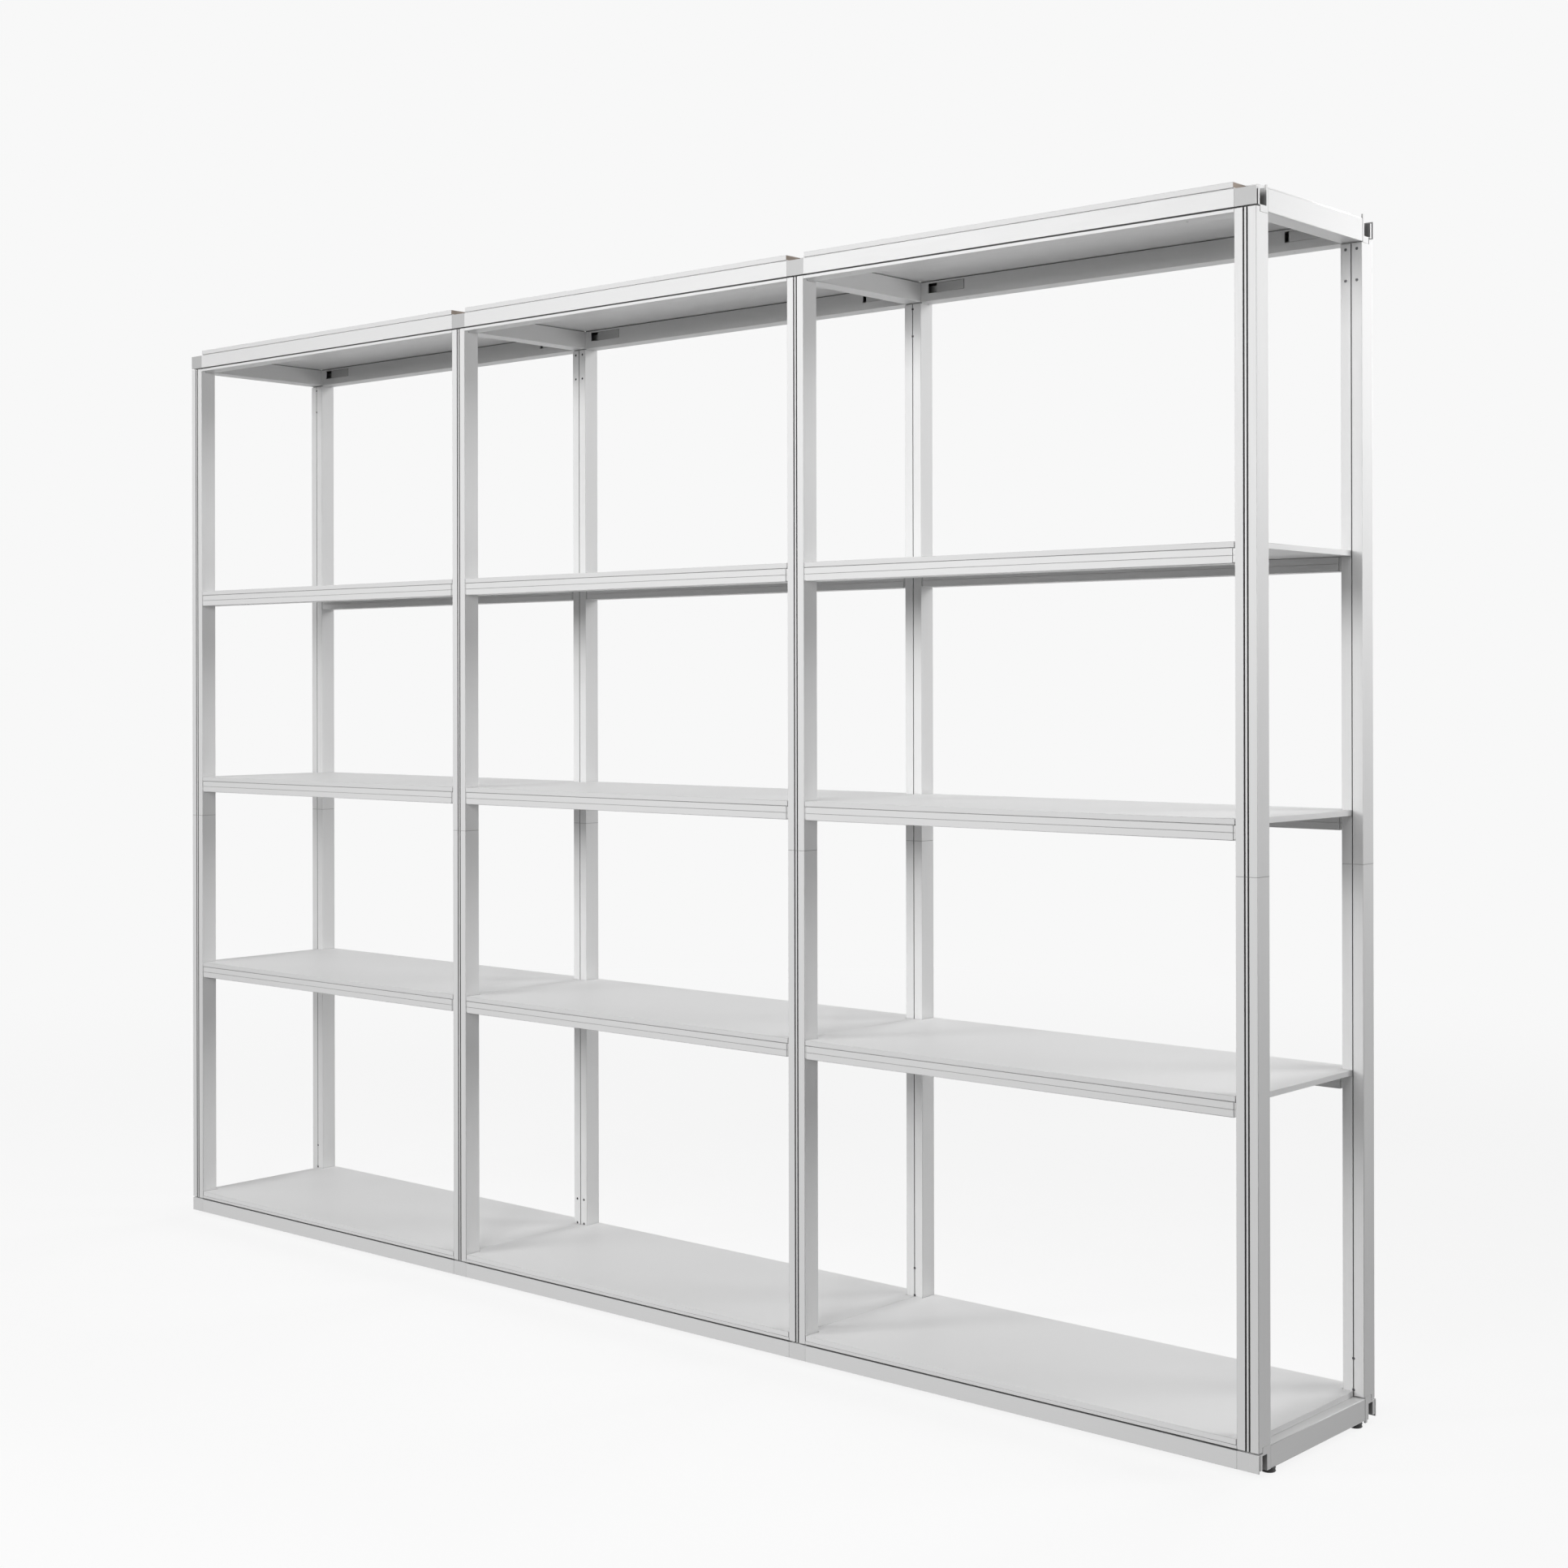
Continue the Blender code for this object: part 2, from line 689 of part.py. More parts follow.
def shelf_rail_outline():
    """Return the skin and hollow of a shelf rail, scored along the middle of both faces.

    It is drawn up from its underside, and its seat rises between two fine joint lines into the board.
    """
    depth, height = SHELF_RAIL_DEPTH, SHELF_RAIL_HEIGHT
    low, high = (height - SCORE_WIDTH) / 2, (height + SCORE_WIDTH) / 2
    seat, line = height + FUSE_DEPTH, height - SEAT_GAP
    skin = [
        (0.0, 0.0),
        (depth, 0.0),
        (depth, low),
        (depth - SCORE_DEPTH, low),
        (depth - SCORE_DEPTH, high),
        (depth, high),
        (depth, line),
        (depth - JOINT_LINE_DEPTH, line),
        (depth - JOINT_LINE_DEPTH, seat),
        (JOINT_LINE_DEPTH, seat),
        (JOINT_LINE_DEPTH, line),
        (0.0, line),
        (0.0, high),
        (SCORE_DEPTH, high),
        (SCORE_DEPTH, low),
        (0.0, low),
    ]
    wall = SHELF_RAIL_WALL + SCORE_DEPTH
    hollow = rectangle((wall, SHELF_RAIL_WALL), (depth - wall, height - SHELF_RAIL_WALL))
    return skin, hollow


def bracket(side):
    """Return a shelf bracket: a plate against the post with a tongue fixed in the upper half of the rail."""
    rail_end = CLEAR_SPAN / 2 - BRACKET_WIDTH
    wall = SHELF_RAIL_WALL + SCORE_DEPTH - FUSE_DEPTH
    plate = box(
        (rail_end + SEAT_GAP, BRACKET_SETBACK, BRACKET_SETBACK),
        (CLEAR_SPAN / 2 - SEAT_GAP, SHELF_RAIL_DEPTH - BRACKET_SETBACK, SHELF_RAIL_HEIGHT - SEAT_GAP),
    )
    tongue = box(
        (rail_end - BRACKET_TONGUE, wall, SHELF_RAIL_HEIGHT / 2),
        (rail_end + BRACKET_WIDTH / 2, SHELF_RAIL_DEPTH - wall, SHELF_RAIL_HEIGHT - SHELF_RAIL_WALL + FUSE_DEPTH),
    )
    return moved(joined(plate, tongue), Matrix.Diagonal((side, 1.0, 1.0, 1.0)))


def shelf():
    """Return a shelf board with its front and rear rails and their brackets."""
    rail = tube(*shelf_rail_outline(), CLEAR_SPAN - 2 * BRACKET_WIDTH, LENGTHWISE)
    rail = joined(rail, bracket(-1), bracket(1))
    return joined(board_solid(0.0), *[in_row(rail, row, SHELF_RAIL_HEIGHT) for row in ROWS])


def add_decks(rack):
    """Add the bottom decks, the shelves and the top boards."""
    levels = (
        ("bottom_deck", bottom_deck(), BASE + RAIL_HEIGHT + SEAT_GAP),
        ("low_shelf", shelf(), BASE + LOW_SHELF_TOP - BOARD_THICKNESS),
        ("middle_shelf", shelf(), BASE + MIDDLE_SHELF_TOP - BOARD_THICKNESS),
        ("high_shelf", shelf(), BASE + HIGH_SHELF_TOP - BOARD_THICKNESS),
        ("top_board", board_solid(0.0), TOP + SEAT_RISE + SEAT_GAP),
    )
    for name, shape, height in levels:
        for index, x in enumerate(BAY_X):
            rack.add(f"{name}_{index + 1}", shape, "white_board", (x, 0.0, height))


# Sliding locks


def lock_slider():
    """Return the lock at the right end of a rail, about the inner end of its window.

    x runs to the post and z across the window. A plate lies in the window, a flange behind it keeps it there,
    and a bolt runs inside the rail to the rail's end.
    """
    behind = POST_DEPTH - RAIL_WALL - SEAT_GAP
    plate_half = WINDOW_HEIGHT / 2 - SEAT_GAP
    flange_half = WINDOW_HEIGHT / 2 + FLANGE_LIP
    tip = WINDOW_START + WINDOW_LENGTH - SEAT_GAP - BOLT_TIP_SETBACK
    plate = box(
        (SEAT_GAP, behind - FLANGE_THICKNESS / 2, -plate_half),
        (SLIDER_LENGTH, POST_DEPTH - SLIDER_RECESS, plate_half),
    )
    flange = box(
        (SEAT_GAP, behind - FLANGE_THICKNESS, -flange_half),
        (SLIDER_LENGTH + FLANGE_LIP, behind, flange_half),
    )
    bolt = box((SEAT_GAP, BOLT_INSET, -BOLT_HEIGHT / 2), (tip, BOLT_INSET + BOLT_WIDTH, BOLT_HEIGHT / 2))
    neck = box(
        (SEAT_GAP, BOLT_INSET + BOLT_WIDTH / 2, -BOLT_HEIGHT / 2 + FLANGE_LIP),
        (SLIDER_LENGTH - FLANGE_LIP, behind - FLANGE_THICKNESS / 2, BOLT_HEIGHT / 2 - FLANGE_LIP),
    )
    return joined(flange, plate, neck, bolt)


def add_locks(rack):
    """Add a lock at both ends of every rear top rail, the right ones part of the way to the post."""
    slider = lock_slider()
    reach = CLEAR_SPAN / 2 - WINDOW_START - WINDOW_LENGTH
    for end, side, advance in (("left", -1.0, 0.0), ("right", 1.0, RIGHT_LOCK_ADVANCE)):
        shape = moved(slider, corner_mirror("rear", "top") @ Matrix.Diagonal((side, 1.0, 1.0, 1.0)))
        for index, x in enumerate(BAY_X):
            place = (x + side * (reach + advance), REAR_FACE, TOP - WINDOW_MIDDLE)
            rack.add(f"lock_{index + 1}_{end}", shape, "lock_grey", place)


# Levelling feet


def foot_offset(index):
    """Return how far a foot stands from its post's middle along the row: outwards at the ends of the row."""
    shift = POST_WIDTH / 2 - FOOT_INSET
    return {0: -shift, POST_COUNT - 1: shift}.get(index, 0.0)


def foot_hole(foot_x):
    """Return the cutter for a foot's stud, in its corner's own frame."""
    radius = (STUD_RADIUS + SEAT_GAP) / math.cos(math.pi / HOLE_SIDES)
    top = STUD_LENGTH + CUT_OVERRUN
    return rod(radius, top + CUT_OVERRUN, (foot_x, FOOT_SETBACK, (top - CUT_OVERRUN) / 2))


def foot_profile():
    """Return the half section of a foot and its stud, from the stud's top down to the floor."""
    disc_top = FOOT_HEIGHT - SEAT_GAP
    stud_top = FOOT_HEIGHT + STUD_LENGTH
    return [
        (0.0, stud_top),
        (STUD_RADIUS - STUD_CHAMFER, stud_top),
        (STUD_RADIUS, stud_top - STUD_CHAMFER),
        (STUD_RADIUS, disc_top),
        (FOOT_RADIUS - FOOT_EDGE, disc_top),
        (FOOT_RADIUS, disc_top - FOOT_EDGE),
        (FOOT_RADIUS, FOOT_EDGE),
        (FOOT_RADIUS - FOOT_EDGE, 0.0),
        (0.0, 0.0),
    ]


def add_feet(rack):
    """Add the eight feet, each turned about its own upright axis."""
    points = foot_profile()
    profile = bpy.data.meshes.new("foot_profile")
    edges = [(i, i + 1) for i in range(len(points) - 1)]
    profile.from_pydata([(radius, 0.0, height) for radius, height in points], edges, [])
    for row in ROWS:
        for index, x in enumerate(POST_X):
            place = (x + foot_offset(index), row_y(row, FOOT_SETBACK), 0.0)
            foot = rack.add(f"{row}_foot_{index + 1}", profile, "foot_black", place)
            turn = foot.modifiers.new("turn", "SCREW")
            turn.axis = "Z"
            turn.angle = 2 * math.pi
            turn.steps = FOOT_STEPS
            turn.render_steps = FOOT_STEPS
            turn.use_merge_vertices = True
            turn.merge_threshold = WELD_DISTANCE


def main():
    """Build the rack."""
    clear_scene()
    rack = Rack()
    add_posts(rack)
    add_side_rails(rack)
    add_top_rails(rack)
    add_decks(rack)
    add_locks(rack)
    add_feet(rack)


main()
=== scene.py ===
"""Looks of the portable display shelf: its pieces with rounded edges and finishes, the light and the camera.

Metres, +Z up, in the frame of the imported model. Each piece is modelled anew over its solid, at the same
size and place, and rides on that solid's body. A corner piece is drawn in its corner's own frame: x along
the row, y inward from the outer face of the row, and z inward from the end of the frame. So one drawing
serves all corners.
"""

import logging
import math
from collections.abc import Iterable, Sequence
from dataclasses import dataclass, field, replace
from enum import Enum
from functools import cached_property
from itertools import product

import bmesh
import bpy
from bmesh.types import BMEdge, BMesh, BMFace, BMVert
from mathutils import Matrix, Vector


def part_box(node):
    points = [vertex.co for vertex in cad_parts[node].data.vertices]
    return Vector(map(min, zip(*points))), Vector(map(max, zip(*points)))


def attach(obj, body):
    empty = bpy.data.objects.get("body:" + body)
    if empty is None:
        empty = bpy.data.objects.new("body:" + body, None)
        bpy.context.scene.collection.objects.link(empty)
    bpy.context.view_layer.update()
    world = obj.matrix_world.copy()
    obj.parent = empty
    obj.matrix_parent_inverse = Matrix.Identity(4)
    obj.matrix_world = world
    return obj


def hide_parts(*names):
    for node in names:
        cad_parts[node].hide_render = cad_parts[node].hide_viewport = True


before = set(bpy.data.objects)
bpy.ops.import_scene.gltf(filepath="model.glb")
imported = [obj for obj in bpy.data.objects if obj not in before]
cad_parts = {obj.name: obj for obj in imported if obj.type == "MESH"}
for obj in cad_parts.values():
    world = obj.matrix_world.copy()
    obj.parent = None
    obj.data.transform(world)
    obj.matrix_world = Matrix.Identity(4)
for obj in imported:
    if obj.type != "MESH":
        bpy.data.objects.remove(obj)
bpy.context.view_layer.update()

log = logging.getLogger("display_shelf")

Colour = tuple[float, float, float]
Corner = tuple[float, float, float]
Socket = bpy.types.NodeSocket
Shape = BMesh

ROOT_BODY = "rack_frame"
EDGE_MARK = "edge"
WHITE = (1.0, 1.0, 1.0, 1.0)

# Places this near are one, doubles this near are merged, and a cutter reaches this far past its target.
NEAR = 0.00001
WELD = 0.000002
OVERRUN = 0.002

# A rounding up to FINE_ROUND has fewer steps. Edges are sharp from these angles on.
FINE_ROUND = 0.0005
FINE_STEPS = 2
FULL_STEPS = 3
SHARP_ANGLE = math.radians(35)
ROUND_PIECE_ANGLE = math.radians(40)

# An extrusion grows along Z. LENGTHWISE lays it along the row, CROSSWISE from front to rear. A screw faces Z,
# and FACING_IN and FACING_OUT turn it along Y.
UPRIGHT = Matrix.Identity(4)
LENGTHWISE = Matrix(((0, 0, 1, 0), (1, 0, 0, 0), (0, 1, 0, 0), (0, 0, 0, 1)))
CROSSWISE = Matrix(((1, 0, 0, 0), (0, 0, -1, 0), (0, 1, 0, 0), (0, 0, 0, 1)))
FACING_IN = Matrix.Rotation(-math.pi / 2, 4, "X")
FACING_OUT = Matrix.Rotation(math.pi / 2, 4, "X")


class Choice(Enum):
    """A choice, with the word in its pieces' names and a sign along one axis."""

    def __init__(self, word: str, sign: float) -> None:
        """Hold the word and the sign."""
        self.word, self.sign = word, sign


class Row(Choice):
    """The front or the rear row of posts, with the way inward along Y."""

    FRONT = ("front", 1.0)
    REAR = ("rear", -1.0)


class Level(Choice):
    """The bottom or the top end of the frame, with the way inward along Z."""

    BOTTOM = ("bottom", 1.0)
    TOP = ("top", -1.0)


class Side(Choice):
    """The left or the right end of a bay, with the way outward along X."""

    LEFT = ("left", -1.0)
    RIGHT = ("right", 1.0)

    def pair(self, first: float, second: float) -> tuple[float, float]:
        """Return two distances from the middle as places on this side, the lower first."""
        return min(self.sign * first, self.sign * second), max(self.sign * first, self.sign * second)


class Screws(Enum):
    """How the screws of a post stand: one column in its seam, or one on each side of it."""

    SINGLE = "single"
    DOUBLE = "double"


# Meshes


def outwards(shape: Shape) -> Shape:
    """Point the faces of a closed shape outwards.

    Args:
        shape: The shape to turn.

    Returns:
        The same shape.
    """
    bmesh.ops.recalc_face_normals(shape, faces=shape.faces)
    if shape.calc_volume(signed=True) < 0.0:
        bmesh.ops.reverse_faces(shape, faces=shape.faces)
    return shape


def round_edges(shape: Shape, edges: list[BMEdge], radius: float) -> None:
    """Round some edges, and mark the new faces as edges for the wear in the finish.

    Args:
        shape: The shape that has the edges.
        edges: The edges to round.
        radius: How far the rounding reaches on each face.
    """
    steps = FULL_STEPS if radius > FINE_ROUND else FINE_STEPS
    mark = shape.faces.layers.float.get(EDGE_MARK) or shape.faces.layers.float.new(EDGE_MARK)
    rounded = bmesh.ops.bevel(
        shape, geom=edges, offset=radius, offset_type="OFFSET", affect="EDGES", segments=steps, profile=0.5,
        material=-1, clamp_overlap=True,
    )
    for face in rounded["faces"]:
        face.smooth = True
        face[mark] = 1.0


def sharp_edges(shape: Shape) -> list[BMEdge]:
    """Return the edges where two faces meet sharply."""
    return [edge for edge in shape.edges if edge.is_manifold and edge.calc_face_angle() > SHARP_ANGLE]


def shade(shape: Shape, low: Sequence[float], high: Sequence[float], finish: int = 1) -> None:
    """Give the faces inside a box another of the piece's finishes: a darker one, painted as shade.

    Args:
        shape: The shape, in its own frame.
        low: The lowest corner of the box.
        high: The highest corner of the box.
        finish: The number of the finish.
    """
    for face in shape.faces:
        centre = face.calc_center_median()
        if all(a - NEAR < value < b + NEAR for a, value, b in zip(low, centre, high)):
            face.material_index = finish


def shade_facing(shape: Shape, axis: int, least: float, finish: int) -> None:
    """Give the faces that look along an axis, either way, another finish where they still have the first.

    Args:
        shape: The shape.
        axis: The number of the axis.
        least: How much of the face's normal lies along the axis, at least.
        finish: The number of the finish.
    """
    for face in shape.faces:
        if abs(face.normal[axis]) > least and face.material_index == 0:
            face.material_index = finish


def slice_at(shape: Shape, height: float) -> None:
    """Split the faces that cross a height."""
    geometry = shape.verts[:] + shape.edges[:] + shape.faces[:]
    bmesh.ops.bisect_plane(shape, geom=geometry, plane_co=(0, 0, height), plane_no=(0, 0, 1))


def farthest(shape: Shape, axis: int) -> BMFace:
    """Return the face whose middle lies farthest along an axis."""
    return max(shape.faces, key=lambda face: face.calc_center_median()[axis])


def draw_out(shape: Shape, face: BMFace, way: Sequence[float], closed: bool = False) -> None:
    """Extrude a face.

    Args:
        shape: The shape that has the face.
        face: The face.
        way: How far the new face lies from the old one, along each axis.
        closed: Whether the old face stays, as the other end of a new solid.
    """
    grown = bmesh.ops.extrude_face_region(shape, geom=[face])
    moving = [item for item in grown["geom"] if isinstance(item, BMVert)]
    bmesh.ops.translate(shape, verts=moving, vec=way)
    if not closed:
        bmesh.ops.delete(shape, geom=[face], context="FACES_ONLY")


def stands_at(edge: BMEdge, places: list[Vector]) -> bool:
    """Return whether an edge runs along Z at one of some places."""
    first, second = (vert.co.xy for vert in edge.verts)
    return (first - second).length <= NEAR and any((first - place).length < NEAR for place in places)


def extrusion(outline: Sequence[Corner], length: float) -> Shape:
    """Extrude a section half its length each way along Z, and round its long edges.

    Args:
        outline: The corners of the section: two places and the radius of the rounding there.
        length: The whole length.

    Returns:
        The closed shape.
    """
    shape = bmesh.new()
    section = shape.faces.new([shape.verts.new((u, v, -length / 2)) for u, v, _ in outline])
    draw_out(shape, section, (0.0, 0.0, length), closed=True)
    outwards(shape)
    for radius in sorted({corner[2] for corner in outline} - {0.0}):
        places = [Vector((u, v)) for u, v, own in outline if own == radius]
        round_edges(shape, [edge for edge in shape.edges if stands_at(edge, places)], radius)
    return shape


def mirrored(half: list[Corner], whole: float = 0.0) -> list[Corner]:
    """Return half an outline with its mirror image, across the middle of a whole width or across 0."""
    return half + [(whole - u, v, radius) for u, v, radius in reversed(half)]


def rectangle(low: tuple[float, float], high: tuple[float, float], radius: float = 0.0) -> list[Corner]:
    """Return the outline of a rectangle with rounded corners."""
    (left, bottom), (right, top) = low, high
    return [(left, bottom, radius), (right, bottom, radius), (right, top, radius), (left, top, radius)]


def block(low: Sequence[float], high: Sequence[float], radius: float = 0.0) -> Shape:
    """Return a box between two corners, with all its edges rounded.

    Args:
        low: The lowest corner.
        high: The highest corner.
        radius: The rounding of the edges, or none.

    Returns:
        The closed shape.
    """
    shape = bmesh.new()
    bmesh.ops.create_cube(shape, size=1.0)
    low, high = Vector(low), Vector(high)
    size = Matrix.Diagonal((*(high - low), 1.0))
    bmesh.ops.transform(shape, matrix=Matrix.Translation((low + high) / 2) @ size, verts=shape.verts)
    if radius:
        round_edges(shape, shape.edges[:], radius)
    return shape


def rod(
    radius: float, length: float, centre: Sequence[float], turn: Matrix = UPRIGHT, sides: int = 16
) -> Shape:
    """Return a round bar about a centre.

    Args:
        radius: The radius of the bar.
        length: Its whole length.
        centre: Its middle.
        turn: The turn from Z to the bar's axis.
        sides: How many sides stand for the round.

    Returns:
        The closed shape.
    """
    shape = bmesh.new()
    bmesh.ops.create_cone(shape, cap_ends=True, segments=sides, radius1=radius, radius2=radius, depth=length)
    bmesh.ops.transform(shape, matrix=Matrix.Translation(centre) @ turn, verts=shape.verts)
    return shape


def spun(profile: Sequence[tuple[float, float]], steps: int) -> Shape:
    """Turn a half section about Z into a closed round shape.

    Args:
        profile: Pairs of radius and height, from the axis at the top to the axis at the bottom.
        steps: How many sides stand for the round.

    Returns:
        The closed shape, shaded smooth.
    """
    shape = bmesh.new()
    verts = [shape.verts.new((radius, 0.0, height)) for radius, height in profile]
    edges = [shape.edges.new(pair) for pair in zip(verts, verts[1:])]
    bmesh.ops.spin(
        shape, geom=verts + edges, cent=(0, 0, 0), axis=(0, 0, 1), angle=2 * math.pi, steps=steps,
        use_merge=True,
    )
    bmesh.ops.remove_doubles(shape, verts=shape.verts, dist=WELD)
    for face in shape.faces:
        face.smooth = True
    return outwards(shape)


def placed(shape: Shape, matrix: Matrix) -> Shape:
    """Return a moved, turned or mirrored copy of a shape, its faces still outwards.

    Args:
        shape: The shape, which stays as it is.
        matrix: Where the copy goes.

    Returns:
        The copy.
    """
    copy = shape.copy()
    bmesh.ops.transform(copy, matrix=matrix, verts=copy.verts)
    if matrix.determinant() < 0.0:
        bmesh.ops.reverse_faces(copy, faces=copy.faces)
    return copy


def gathered(shapes: Iterable[Shape]) -> Shape:
    """Put separate shapes together as one.

    Args:
        shapes: The shapes.

    Returns:
        One shape with all their faces.
    """
    whole = bmesh.new()
    for shape in shapes:
        mesh = bpy.data.meshes.new("gathered")
        shape.to_mesh(mesh)
        whole.from_mesh(mesh)
        bpy.data.meshes.remove(mesh)
    return whole


def combined(shape: Shape, tools: Iterable[Shape], operation: str) -> Shape:
    """Cut or join a shape with tools, one after the other.

    Args:
        shape: The shape to work on.
        tools: The shapes to cut out or to join.
        operation: The Boolean modifier's operation.

    Returns:
        A new shape.
    """
    for tool in tools:
        pair = []
        for item in (shape, tool):
            mesh = bpy.data.meshes.new("working")
            item.to_mesh(mesh)
            pair.append(bpy.data.objects.new("working", mesh))
            bpy.context.scene.collection.objects.link(pair[-1])
        modifier = pair[0].modifiers.new("combine", "BOOLEAN")
        modifier.operation = operation
        modifier.object = pair[1]
        bpy.context.view_layer.update()
        seen = pair[0].evaluated_get(bpy.context.evaluated_depsgraph_get())
        shape = bmesh.new()
        shape.from_mesh(seen.data)
        for thing in pair:
            bpy.data.meshes.remove(thing.data)
    return shape


def cut(shape: Shape, *tools: Shape) -> Shape:
    """Return a shape with the tools cut out of it."""
    return combined(shape, tools, "DIFFERENCE")


def joined(shape: Shape, *tools: Shape) -> Shape:
    """Return a shape made one body with the tools."""
    return combined(shape, tools, "UNION")


def hollow_bar(skin: Sequence[Corner], inside: Sequence[Corner], length: float, turn: Matrix) -> Shape:
    """Return a bar with a hollow section, open at both ends, turned to its axis."""
    return placed(cut(extrusion(skin, length), extrusion(inside, length + 2 * OVERRUN)), turn)


# Shader nodes

# Ranges of noise and what they become, where wear and dust break up. The last is the slopes that dust lies on.
WEAR_PATCHES = (0.45, 0.65, 0.25, 1.0)
DUST_PATCHES = (0.4, 0.7, 0.3, 1.0)
DUSTY_SLOPES = (0.5, 1.0, 0.0, 1.0)
GRAIN_DETAIL = 3.0


class Graph:
    """Adds nodes to a tree and links them, in short calls."""

    def __init__(self, tree: bpy.types.NodeTree) -> None:
        """Hold the tree."""
        self.tree = tree

    def add(self, kind: str, **settings: object) -> bpy.types.Node:
        """Add a node.

        Args:
            kind: The node's type.
            settings: Its properties.

        Returns:
            The node.
        """
        node = self.tree.nodes.new(kind)
        for name, value in settings.items():
            setattr(node, name, value)
        return node

    def feed(self, socket: Socket, value: object) -> None:
        """Link a socket to another, or set its value.

        Args:
            socket: The input.
            value: An output of another node, or a value.
        """
        if isinstance(value, Socket):
            self.tree.links.new(value, socket)
        else:
            socket.default_value = value

    def feed_named(self, node: bpy.types.Node, values: dict[str, object]) -> None:
        """Feed a node's inputs by their names."""
        for name, value in values.items():
            self.feed(node.inputs[name], value)

    def wired(self, kind: str, *values: object, **settings: object) -> Socket:
        """Add a node and feed its inputs in their order.

        Args:
            kind: The node's type.
            values: What the first inputs get.
            settings: The node's properties.

        Returns:
            The node's first output.
        """
        node = self.add(kind, **settings)
        for socket, value in zip(node.inputs, values):
            self.feed(socket, value)
        return node.outputs[0]

    def math(self, operation: str, *values: object) -> Socket:
        """Add a Math node and return its output."""
        return self.wired("ShaderNodeMath", *values, operation=operation)

    def spread(self, *values: object) -> Socket:
        """Map a value from one range to another, smoothly and clamped, and return the output."""
        return self.wired("ShaderNodeMapRange", *values, interpolation_type="SMOOTHSTEP", clamp=True)

    def part(self, vector: Socket, axis: str) -> Socket:
        """Return one part of a vector."""
        return self.wired("ShaderNodeSeparateXYZ", vector).node.outputs[axis]

    def place(self) -> Socket:
        """Return the place on the object, in its own coordinates."""
        return self.add("ShaderNodeTexCoord").outputs["Object"]

    def mix(self, factor: Socket, first: Socket, second: Sequence[float]) -> Socket:
        """Mix two colours.

        Args:
            factor: How much of the second shows.
            first: The first colour.
            second: The second colour.

        Returns:
            The mixed colour.
        """
        node = self.add("ShaderNodeMix", data_type="RGBA")
        sockets = {item.identifier: item for item in (*node.inputs, *node.outputs)}
        for name, value in (("Factor_Float", factor), ("A_Color", first), ("B_Color", second)):
            self.feed(sockets[name], value)
        return sockets["Result_Color"]

    def noise(self, scale: object, stretch: object = (1.0, 1.0, 1.0), detail: float = 2.0) -> Socket:
        """Add noise on Object coordinates.

        Args:
            scale: How fine it is.
            stretch: How much finer it is along each axis.
            detail: How many finer layers it has.

        Returns:
            The value of the noise.
        """
        warp = self.wired("ShaderNodeVectorMath", self.place(), stretch, operation="MULTIPLY")
        node = self.add("ShaderNodeTexNoise")
        self.feed_named(node, {"Vector": warp, "Scale": scale, "Detail": detail})
        return node.outputs["Fac"]


class Effect(Enum):
    """An effect that several finishes share, built once as a node group: its name, inputs and output."""

    TONE = ("tone", {"Scale": "Float", "Amount": "Float"}, "Factor")
    GRAIN = ("grain", {"Scale": "Float", "Stretch": "Vector"}, "Height")
    WEAR = ("wear", {"Scale": "Float", "Amount": "Float"}, "Mask")
    DUST = ("dust", {"Scale": "Float", "Amount": "Float"}, "Mask")

    def use(self, graph: Graph, **values: object) -> Socket:
        """Place the effect in a material.

        Args:
            graph: The material's graph.
            values: What each input gets, by its name in small letters.

        Returns:
            The output of the group.
        """
        tree = bpy.data.node_groups.get(self.value[0]) or self.build()
        node = graph.add("ShaderNodeGroup", node_tree=tree)
        graph.feed_named(node, {name.capitalize(): value for name, value in values.items()})
        return node.outputs[0]

    def build(self) -> bpy.types.NodeTree:
        """Build the node group with its sockets.

        Returns:
            The group's tree.
        """
        name, inputs, output = self.value
        tree = bpy.data.node_groups.new(name, "ShaderNodeTree")
        for key, kind in inputs.items():
            tree.interface.new_socket(name=key, in_out="INPUT", socket_type=f"NodeSocket{kind}")
        tree.interface.new_socket(name=output, in_out="OUTPUT", socket_type="NodeSocketFloat")
        graph = Graph(tree)
        given, out = graph.add("NodeGroupInput"), graph.add("NodeGroupOutput")
        graph.feed(out.inputs[0], getattr(self, name)(graph, given.outputs))
        return tree

    def tone(self, graph: Graph, given: dict[str, Socket]) -> Socket:
        """Return the slow change of brightness over a surface, as a factor near 1."""
        swing = graph.math("SUBTRACT", graph.noise(given["Scale"]), 0.5)
        return graph.math("MULTIPLY_ADD", swing, given["Amount"], 1.0)

    def grain(self, graph: Graph, given: dict[str, Socket]) -> Socket:
        """Return the fine texture of a surface as a height, stretched where a tool has drawn it."""
        return graph.noise(given["Scale"], given["Stretch"], GRAIN_DETAIL)

    def wear(self, graph: Graph, given: dict[str, Socket]) -> Socket:
        """Return the mask of rubbed edges: the rounded edges of a piece, broken up by noise."""
        edge = graph.add("ShaderNodeAttribute", attribute_name=EDGE_MARK).outputs["Fac"]
        return self.broken(graph, given, edge, WEAR_PATCHES)

    def dust(self, graph: Graph, given: dict[str, Socket]) -> Socket:
        """Return the mask of the dust that settles in patches on upward faces."""
        upward = graph.part(graph.add("ShaderNodeNewGeometry").outputs["Normal"], "Z")
        return self.broken(graph, given, graph.spread(upward, *DUSTY_SLOPES), DUST_PATCHES)

    @staticmethod
    def broken(graph: Graph, given: dict[str, Socket], mask: Socket, patches: Sequence[float]) -> Socket:
        """Return a mask broken up by noise, from one range of the noise to another, and turned down."""
        noise = graph.spread(graph.noise(given["Scale"]), *patches)
        return graph.math("MULTIPLY", graph.math("MULTIPLY", mask, noise), given["Amount"])


